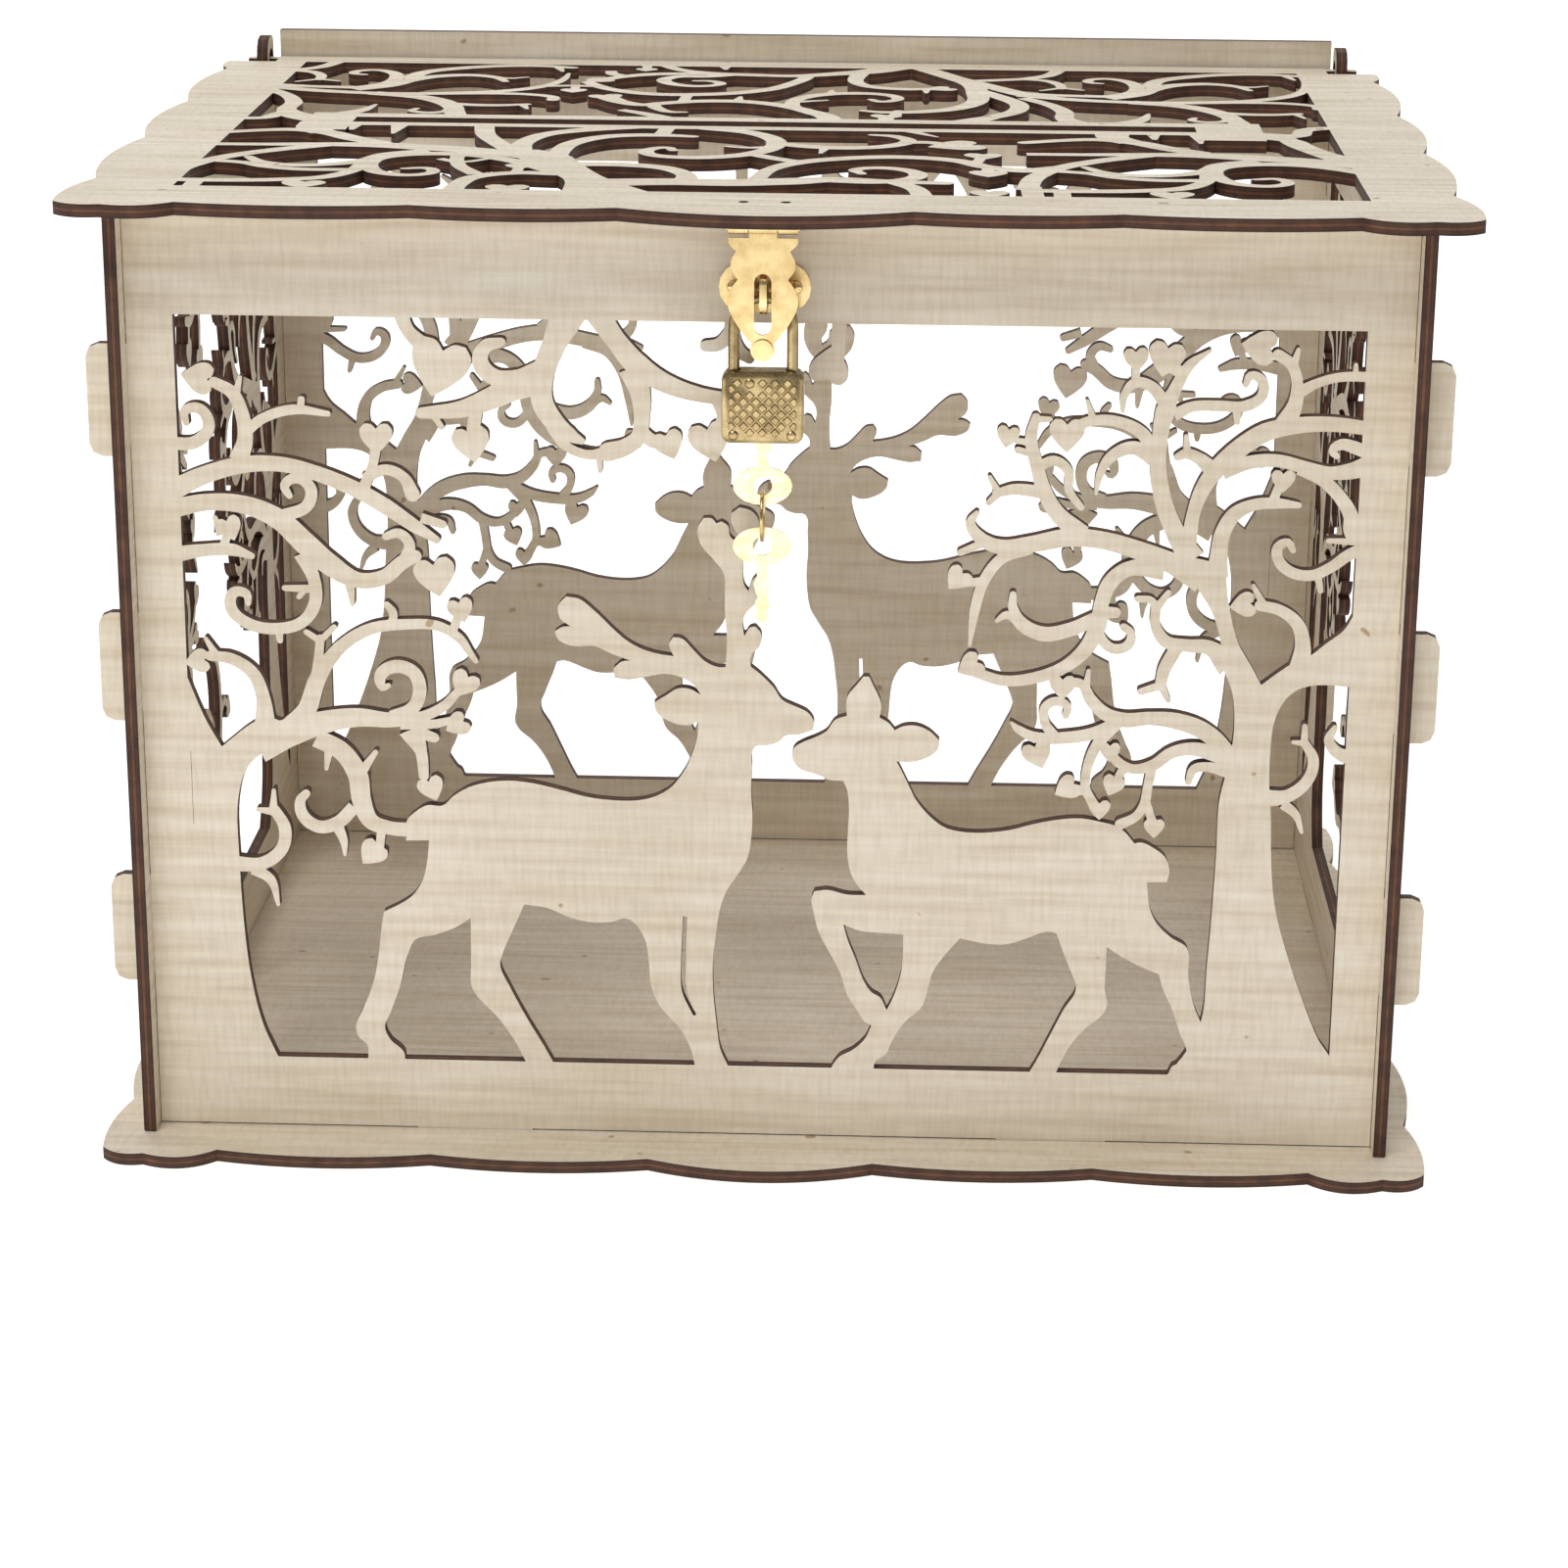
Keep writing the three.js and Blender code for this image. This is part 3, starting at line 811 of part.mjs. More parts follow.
/** The padlock's body: a bevelled block, bored for the shackle, the key plug, the latch and the rivets. */
function padlockCase() {
  const { width, height, depth, top, bore, heel, toe } = padlock;
  const bevel = 0.6;
  const corner = 1.6;
  const w = width / 2 - bevel;
  const h = height / 2 - bevel;
  const outline = new THREE.Shape();
  outline.absarc(w - corner, -h + corner, corner, -Math.PI / 2, 0, false);
  outline.absarc(w - corner, h - corner, corner, 0, Math.PI / 2, false);
  outline.absarc(-w + corner, h - corner, corner, Math.PI / 2, Math.PI, false);
  outline.absarc(-w + corner, -h + corner, corner, Math.PI, 1.5 * Math.PI, false);
  const block = new THREE.ExtrudeGeometry(outline, {
    depth: depth - 2 * bevel, bevelEnabled: true, bevelThickness: bevel, bevelSize: bevel, bevelSegments: 2,
    curveSegments: 4,
  }).rotateX(Math.PI / 2).translate(0, depth / 2 - bevel, top - height / 2);
  const { reach } = shackle;
  const plugTop = plug.top + 0.3;
  const cuts = [
    rod('z', bore, top - heel, top + 1, -reach, 0),
    rod('z', bore, top - toe, top + 1, reach, 0),
    rod('z', plug.bore, padlockBottom - 1, plugTop, 0, 0, 24),
    box(-1.2, -1.3, plugTop - 0.5, reach, 1.3, latch.top + 0.25),
    ...rivets.map(([x, z]) => rod('y', rivet.hole, -depth, depth, x, z, 12)),
  ];
  return toGeometry(cuts.reduce((solid, cut) => solid.subtract(cut), toManifold(block)));
}

/** The latch: a small bolt that the plug's cam pushes into the toe's notch. */
function latchGeometry() {
  const nose = shackle.reach - padlock.bore;
  return toGeometry(box(-0.6, -1, latch.bottom, nose, 1, latch.top));
}

/** The plug: a cylinder with a keyway along it and a cam on top. */
function plugGeometry() {
  const body = rod('z', plug.radius, padlockBottom + 0.05, plug.top, 0, 0, 24);
  const keyway = box(-1.95, -0.45, padlockBottom - 1, 1.95, 0.45, plug.top - 0.7);
  return toGeometry(body.subtract(keyway));
}

function rivetGeometry() {
  const { shank, head, headHeight } = rivet;
  const half = padlock.depth / 2;
  const face = half + 0.12;
  const profile = [
    [0, -face - headHeight], [head * 0.7, -face - headHeight * 0.75], [head, -face], [shank, -face],
    [shank, face], [head, face], [head * 0.7, face + headHeight * 0.75], [0, face + headHeight],
  ];
  return new THREE.LatheGeometry(profile.map(([x, y]) => new THREE.Vector2(x, y)), 10);
}

// A flat key, hanging: its blade points down from z = 0, its oval bow stands above.
const key = { bowWide: 13.5, bowHigh: 9, hole: 2.25, blade: 13.6, bladeHalf: 1.7, thick: 0.6 };

function keyGeometry() {
  const { bowWide, bowHigh, hole, blade, bladeHalf, thick } = key;
  const centre = bowHigh / 2;
  const bow = arc(0, 0, 1, -75, 255, 22).map(([u, v]) => [(u * bowWide) / 2, centre + v * centre]);
  const rightBits = [
    [bladeHalf, 0.6], [1.1, -1.2], [1.2, -3], [2, -4.4], [1.6, -6], [1, -7.6], [1.5, -8.8], [bladeHalf, -10],
    [1.2, -11.2], [1.4, -12.2], [0.7, -blade],
  ];
  const bits = [...rightBits.map(([x, z]) => [-x, z]), ...rightBits.reverse()];
  const flat = sheetSolid([...bow, ...bits], thick).subtract(rod('y', hole, -1, 2, 0, centre));
  return toGeometry(flat.translate([0, -thick / 2, 0]));
}

const ring = { radius: 5.5, wire: 0.5 };

// ---------------------------------------------------------------- materials
const material = (color, roughness, metalness) =>
  new THREE.MeshStandardMaterial({ color, roughness, metalness });
const plywood = material(0xe0d5ba, 0.8, 0);
const brass = material(0xd8b468, 0.25, 1); // hasp, staple and screws
const oldBrass = material(0x8d7748, 0.3, 1); // padlock
const paleBrass = material(0xe6d8a4, 0.25, 1); // keys
const steel = material(0xb9bcc0, 0.3, 1);

// ---------------------------------------------------------------- assembly
const boxGroup = new THREE.Group();

function place(name, geometry, finish, position = [0, 0, 0], rotation = [0, 0, 0]) {
  const mesh = new THREE.Mesh(geometry, finish);
  mesh.name = name;
  mesh.position.set(...position);
  mesh.rotation.set(...rotation);
  boxGroup.add(mesh);
}

place('front_panel', facingFront(frontPanel()), plywood, [0, frontFace + ply, 0]);
// Seen from outside, the back panel shows the same picture as the front one.
place('back_panel', facingFront(backPanel()), plywood, [0, backFace - ply, 0], [0, 0, Math.PI]);
place('left_panel', facingSide(sidePanel()), plywood, [-boxWidth / 2, frontEdge, 0]);
place('right_panel', facingSide(sidePanel()), plywood, [sideInner, frontEdge, 0]);
place('base_plate', basePlate(), plywood, [0, frontEdge, baseBottom]);
place('lid', lidPlate(), plywood, [0, frontEdge, lidBottom]);

place('staple', staple(), brass, [lock.x, staplePlate.front, lock.stapleZ]);
stapleScrews.forEach((x, i) => {
  const at = [lock.x + x, staplePlate.front - 0.1, lock.stapleZ];
  place(`staple_screw_${i + 1}`, screwGeometry(), brass, at, [-Math.PI / 2, 0, 0]);
});
place('hasp_leaf', haspLeaf(), brass, [lock.x, 0, 0]);
place('hasp_strap', haspStrap(), brass, [lock.x, 0, 0]);
const pinHalf = hasp.half + 0.4;
const haspPin = toGeometry(rod('x', hasp.pin, -pinHalf, pinHalf, hasp.pinY, hasp.pinZ));
place('hasp_pin', haspPin, brass, [lock.x, 0, 0]);
leafScrews.forEach((x, i) => {
  const at = [lock.x + x, leafScrewY, leafTop - sheet - 0.1];
  place(`hasp_screw_${i + 1}`, screwGeometry(), brass, at);
});

const lockAxis = [lock.x, lock.y, 0];
place('padlock_shackle', shackleGeometry(), oldBrass, lockAxis);
place('padlock_case', padlockCase(), oldBrass, lockAxis);
place('padlock_latch', latchGeometry(), steel, lockAxis);
place('padlock_plug', plugGeometry(), oldBrass, lockAxis);
rivets.forEach(([x, z], i) => {
  place(`padlock_rivet_${i + 1}`, rivetGeometry(), oldBrass, [lock.x + x, lock.y, z]);
});

// The first key stands in the plug, upside down; the ring and the second key hang from its bow.
const inserted = 7.6;
const keyTop = padlockBottom + inserted - key.blade;
const bowCentre = keyTop - key.bowHigh / 2;
const ringCentre = bowCentre - (key.hole - ring.wire - 0.15) - ring.radius;
const spareHole = ringCentre - ring.radius - (key.hole - ring.wire - 0.15);
place('key_in_lock', keyGeometry(), paleBrass, [lock.x, lock.y, keyTop], [0, Math.PI, 0]);
place('key_ring', new THREE.TorusGeometry(ring.radius, ring.wire, 6, 20), brass, [lock.x, lock.y, ringCentre],
  [0, Math.PI / 2, 0]);
place('spare_key', keyGeometry(), paleBrass, [lock.x, lock.y, spareHole - key.bowHigh / 2]);

export default boxGroup;
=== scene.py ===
"""Wedding card box: pierced plywood panels, a lid with a card slot, and a small brass padlock."""

import json
import math

import bmesh
import bpy
import numpy as np
from mathutils import Matrix, Vector
from mathutils.geometry import delaunay_2d_cdt


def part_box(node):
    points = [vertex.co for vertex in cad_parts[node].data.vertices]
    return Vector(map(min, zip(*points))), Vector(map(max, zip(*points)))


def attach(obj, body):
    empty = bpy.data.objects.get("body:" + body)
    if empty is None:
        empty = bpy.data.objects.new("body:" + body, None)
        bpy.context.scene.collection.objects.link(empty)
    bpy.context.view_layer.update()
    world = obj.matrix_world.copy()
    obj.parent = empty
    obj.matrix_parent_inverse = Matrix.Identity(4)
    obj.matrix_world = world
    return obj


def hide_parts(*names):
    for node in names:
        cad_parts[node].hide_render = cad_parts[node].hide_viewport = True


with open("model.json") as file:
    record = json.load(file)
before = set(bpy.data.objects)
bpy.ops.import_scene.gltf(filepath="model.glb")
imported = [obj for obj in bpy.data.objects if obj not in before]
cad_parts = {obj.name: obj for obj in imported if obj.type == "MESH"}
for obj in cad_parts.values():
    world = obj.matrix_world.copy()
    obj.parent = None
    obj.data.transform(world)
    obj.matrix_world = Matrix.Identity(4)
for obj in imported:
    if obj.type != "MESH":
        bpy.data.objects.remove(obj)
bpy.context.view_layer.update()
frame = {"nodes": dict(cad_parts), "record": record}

# ---------------------------------------------------------------- dimensions, in millimetres
PLY = 3.0
GAP = 0.3
SLACK = 0.15
BOX_WIDTH = 300.0
BOX_DEPTH = 235.0
INSET = 6.1
BASE_BOTTOM = 0.9
BASE_TOP = BASE_BOTTOM + PLY
WALL_TOP = 229.0
LID_BOTTOM = WALL_TOP + GAP
BACK_TOP = 239.4
WINDOW_HALF = 136.0
GROUND_LINE = 21.8
WINDOW_TOP = 204.0
FRONT_EDGE = -BOX_DEPTH / 2
FRONT_FACE = FRONT_EDGE + INSET
BACK_FACE = -FRONT_FACE
SIDE_INNER = BOX_WIDTH / 2 - PLY
LOCK_X = -0.5

STEP = 0.8  # along a drawn curve
TOLERANCE = 0.025  # how far a cut edge may leave the drawn curve

SIDE_TABS = [[41, 68], [106.5, 133], [170.5, 197]]  # bottom and top of each tab
FOOT_TABS = [[-84, -56], [56.5, 83]]  # along the front and back panels
SIDE_FOOT_TABS = [[40, 70], [165, 195]]  # along the side panels, from the front edge
TAB_REACH = 156.5
HOOK_DROP = 2.2
PANEL_HALF = SIDE_INNER - SLACK
PANEL_BOTTOM = BASE_TOP + GAP
SLOT_BEFORE = INSET - SLACK
SLOT_WIDE = PLY + 2 * SLACK
STAPLE_SCREWS = [-6.9, 6.9]
LEAF_SCREWS = [-4.75, 4.75]
STAPLE_Z = 212.35
SCREW_HOLE = 1.2
LEAF_SCREW_Y = 1.7
LIP = 2  # a picture runs this far into its frame
HINGE_HOLE = (221.6, 231.6, 3.3)  # distance from the front edge, z and radius
SMOOTH_ANGLE = 35  # degrees, above which a fitting's edge stays sharp


# ---------------------------------------------------------------- flat outlines
def unit(a, b):
    dx, dy = b[0] - a[0], b[1] - a[1]
    length = math.hypot(dx, dy) or 1.0
    return dx / length, dy / length


def smooth(points, closed, corner_turn=52):
    """A smooth curve through [x, y] or [x, y, width] points; sharper turns stay corners."""
    count = len(points)
    sharp = math.cos(math.radians(corner_turn))

    def heading(i, forward):
        if not closed and i in (0, count - 1):
            return forward
        before = unit(points[(i - 1) % count], points[i % count])
        after = unit(points[i % count], points[(i + 1) % count])
        if before[0] * after[0] + before[1] * after[1] < sharp:
            return forward
        return unit((0, 0), (before[0] + after[0], before[1] + after[1]))

    line = []
    for i in range(count if closed else count - 1):
        a, b = points[i], points[(i + 1) % count]
        chord = math.hypot(b[0] - a[0], b[1] - a[1])
        forward = unit(a, b)
        start, end = heading(i, forward), heading(i + 1, forward)
        steps = max(2, math.ceil(chord / STEP))
        for k in range(steps):
            t = k / steps
            h1, h2 = 2 * t**3 - 3 * t**2 + 1, t**3 - 2 * t**2 + t
            h3, h4 = -2 * t**3 + 3 * t**2, t**3 - t**2
            point = [h1 * a[c] + h2 * chord * start[c] + h3 * b[c] + h4 * chord * end[c] for c in (0, 1)]
            if len(a) > 2:
                point.append(a[2] + (b[2] - a[2]) * t)
            line.append(point)
    if not closed:
        line.append(list(points[-1]))
    return line


def twig(points):
    """A ribbon with a round tip along [x, y, width] points."""
    line = smooth(points, False, 180)
    last = len(line) - 1
    left, right = [], []
    for i, (x, y, width) in enumerate(line):
        dx, dy = unit(line[max(i - 1, 0)], line[min(i + 1, last)])
        left.append([x - dy * width / 2, y + dx * width / 2])
        right.append([x + dy * width / 2, y - dx * width / 2])
    x, y, width = line[last]
    dx, dy = unit(line[last - 1], line[last])
    tip = []
    for k in range(1, 6):
        across = math.cos(math.pi * k / 6) * width / 2
        along = math.sin(math.pi * k / 6) * width / 2
        tip.append([x - dy * across + dx * along, y + dx * across + dy * along])
    return left + tip + right[::-1]


def heart(x, y, size, turn=0):
    half = [[0, -0.56], [0.27, -0.3], [0.47, -0.02], [0.5, 0.24], [0.36, 0.42], [0.16, 0.41], [0, 0.26]]
    whole = half + [[-u, v] for u, v in half[-2:0:-1]]
    c = math.cos(math.radians(turn)) * size
    s = math.sin(math.radians(turn)) * size
    return smooth([[x + c * u - s * v, y + s * u + c * v] for u, v in whole], True)


def rectangle(x0, y0, x1, y1):
    return [[x0, y0], [x1, y0], [x1, y1], [x0, y1]]


def disc(x, y, radius, sides=32):
    angles = [2 * math.pi * (i + 0.5) / sides for i in range(sides)]
    return [[x + radius * math.cos(a), y + radius * math.sin(a)] for a in angles]


def moved(outlines, dx, dy):
    return [[[p[0] + dx, p[1] + dy] for p in outline] for outline in outlines]


def mirrored_x(outline):
    return [[-p[0], p[1]] for p in outline[::-1]]


# ---------------------------------------------------------------- cut-out pictures
# Drawn in [x, z] on a panel 300 wide, the ground at z = GROUND_LINE; the lid's in [x, y].


def left_tree():
    return [
        smooth([[-137, 21], [-117.7, 21.8], [-121, 30], [-123.5, 42], [-124.8, 56], [-125.3, 72], [-125, 88],
          [-122.5, 95.5], [-118, 99.5], [-111, 101], [-112, 106], [-117.7, 108], [-121, 106.5],
          [-128.5, 100.5], [-132, 107], [-136, 117.5], [-137, 117.5]], True),
        twig([[-120, 101, 9], [-113, 104, 7], [-104, 107, 5.5], [-96, 108.3, 4.6], [-88, 107.8, 3.6],
          [-81, 108.7, 2.6], [-75.5, 111.5, 2.4], [-72.3, 115, 2]]),
        heart(-70.6, 117.2, 6.6, -30),
        twig([[-86, 107, 3], [-78, 107, 2.2], [-74, 108, 1.8]]),
        heart(-72.4, 107, 5.8, -60),
        twig([[-113, 104, 6], [-108, 110, 4.5], [-105.5, 117, 4], [-103, 121.5, 3.5], [-98.5, 126.5, 3],
          [-92, 130.2, 2.8], [-84, 131.3, 2.6], [-76.5, 131, 2.4], [-71.5, 128, 2.2], [-69, 124.3, 1.6],
          [-67.8, 122.6, 1.2]]),
        heart(-71.2, 135.2, 6, 15),
        twig([[-73.6, 128.6, 2], [-72, 133, 2]]),
        twig([[-105.5, 117, 3], [-104.8, 123, 2.2], [-104.3, 127.5, 2]]),
        twig([[-104.5, 127, 1.6], [-107.5, 129, 1.4]]),
        twig([[-104.3, 127, 1.6], [-101, 130.3, 1.4]]),
        twig([[-87.5, 131, 2], [-87, 134, 2], [-88.5, 136, 1.6]]),
        twig([[-88, 108.5, 3.2], [-83, 110.8, 3.2], [-81.2, 115, 3.2], [-82.5, 119.5, 3.2],
          [-86.8, 121, 3.2], [-90.3, 118.8, 3], [-89.8, 115.8, 2], [-88.5, 116.3, 1.2]]),
        twig([[-118, 106, 5], [-118.3, 113, 3.2], [-120.5, 118.8, 3], [-125.5, 122.2, 2.8],
          [-130.5, 122.8, 2.4]]),
        heart(-133.3, 121.5, 5.8, -80),
        twig([[-129, 123, 2], [-131.3, 127, 1]]),
        twig([[-139, 162, 5], [-130, 166.4, 4.2], [-121, 169, 4], [-112, 169.2, 3.6], [-104, 167.2, 3.6],
          [-96, 164, 3.8], [-88, 159.5, 3.8], [-81.5, 155, 3.2], [-76.5, 151.8, 1.8]]),
        twig([[-122, 170, 4.5], [-120.3, 175, 3.6], [-120.8, 181, 3.2], [-123, 186, 3], [-127, 188.3, 2.6]]),
        heart(-130.5, 189.3, 7.5, -100),
        twig([[-122.5, 184, 2.4], [-121, 189.5, 1]]),
        twig([[-121, 176, 2.6], [-116, 180, 2.4], [-109, 182.2, 2.4], [-101, 181.3, 1.4]]),
        twig([[-107.3, 182, 1.8], [-107, 184.6, 1.6]]),
        twig([[-138, 173.8, 3], [-131.8, 174.2, 3], [-128.6, 178, 2.8], [-130.5, 182, 2.6],
          [-134, 181.5, 2.2], [-133.8, 178.6, 1.4]]),
        heart(-90, 176, 7.5, 0),
        twig([[-94, 162, 3], [-91, 169, 2.2], [-90.2, 173, 2.4]]),
        twig([[-93, 166, 2.6], [-88, 168.3, 2.6], [-83.8, 166.5, 2.6], [-81.8, 162.5, 3.4]]),
        twig([[-80, 157, 2.4], [-75, 155.5, 2]]),
        twig([[-139, 158, 4.5], [-129, 160, 4], [-120, 159.2, 4.4], [-113, 156, 5], [-107, 150.3, 5.5],
          [-101, 145, 5.2], [-95, 141.8, 3.8], [-89, 142.6, 3.6], [-84.5, 146.3, 3.4], [-81.5, 147.8, 3]]),
        heart(-77, 143.3, 9.5, 10),
        twig([[-112, 157, 3], [-106.6, 159.3, 2.8], [-105.4, 163.3, 2.8], [-108.3, 166, 2.6],
          [-111.5, 164.2, 2.2], [-110.5, 161.8, 1.6]]),
        twig([[-84, 147, 2.8], [-82.8, 150.5, 2.6], [-85.2, 153.2, 2.4], [-88.3, 152.4, 1.8]]),
        twig([[-108, 148, 4], [-105.4, 142, 3], [-105.3, 136, 3], [-108.5, 131.4, 2.8], [-114.5, 129.7, 2.8],
          [-121, 130.8, 2.8], [-125, 134.5, 2.8], [-124.3, 138.3, 2.6], [-121.3, 138, 2.2],
          [-121, 135.8, 1.4]]),
        twig([[-114, 129.5, 2], [-113.8, 126.8, 1.4]]),
        twig([[-105, 139.5, 2.2], [-112.3, 139.6, 1.4]]),
        twig([[-107.5, 139.5, 1.6], [-109, 137.5, 1.2]]),
        twig([[-97, 141, 2.4], [-96.5, 136, 1]]),
        twig([[-139, 147, 4], [-131, 148.4, 3], [-124, 148.6, 3], [-119.8, 147.2, 1.6]]),
        heart(-124.8, 154, 6, 20),
        twig([[-126.5, 149, 2], [-125.5, 151.5, 2]]),
        twig([[-127, 152, 1.6], [-128, 156.3, 1.2]]),
        twig([[-106, 103, 4.5], [-100, 99.8, 4.6], [-96.4, 94, 4.8], [-95.6, 87.5, 4.6], [-93.5, 82.5, 4],
          [-89, 80.9, 3.4], [-84, 80.5, 3.6]]),
        twig([[-95.6, 94.6, 2.5], [-92, 99.8, 1.2]]),
        twig([[-97.5, 86, 3.2], [-101.5, 82, 3.2], [-106, 80.9, 3.2], [-109.7, 83.6, 3], [-110.2, 87.5, 2.4],
          [-108.8, 89.2, 2]]),
        twig([[-101.5, 81, 2.8], [-100.2, 77.5, 2], [-100, 74, 0.8]]),
        twig([[-91, 81, 2.2], [-91.6, 76, 2]]),
        heart(-93.4, 74.6, 6.6, -40),
        twig([[-103, 100.5, 2.4], [-103.8, 95.4, 0.9]]),
        twig([[-127, 71.2, 4], [-119.8, 71.4, 3.2], [-115, 75.3, 3], [-114.2, 80.5, 3], [-116.5, 85, 2.6]]),
        twig([[-116.8, 84.5, 2.2], [-116.5, 89.8, 1]]),
        twig([[-117, 84.5, 2], [-120.3, 84.9, 1.2]]),
        twig([[-122, 70, 3], [-118, 67.3, 2.4], [-116.4, 61, 0.9]]),
        twig([[-83.5, 105.5, 6], [-81.2, 100, 2.8], [-80.7, 94, 2.4]]),
        heart(-79, 91.2, 6.2, 20),
        twig([[-82, 105, 3], [-78, 103.6, 2.4]]),
    ]


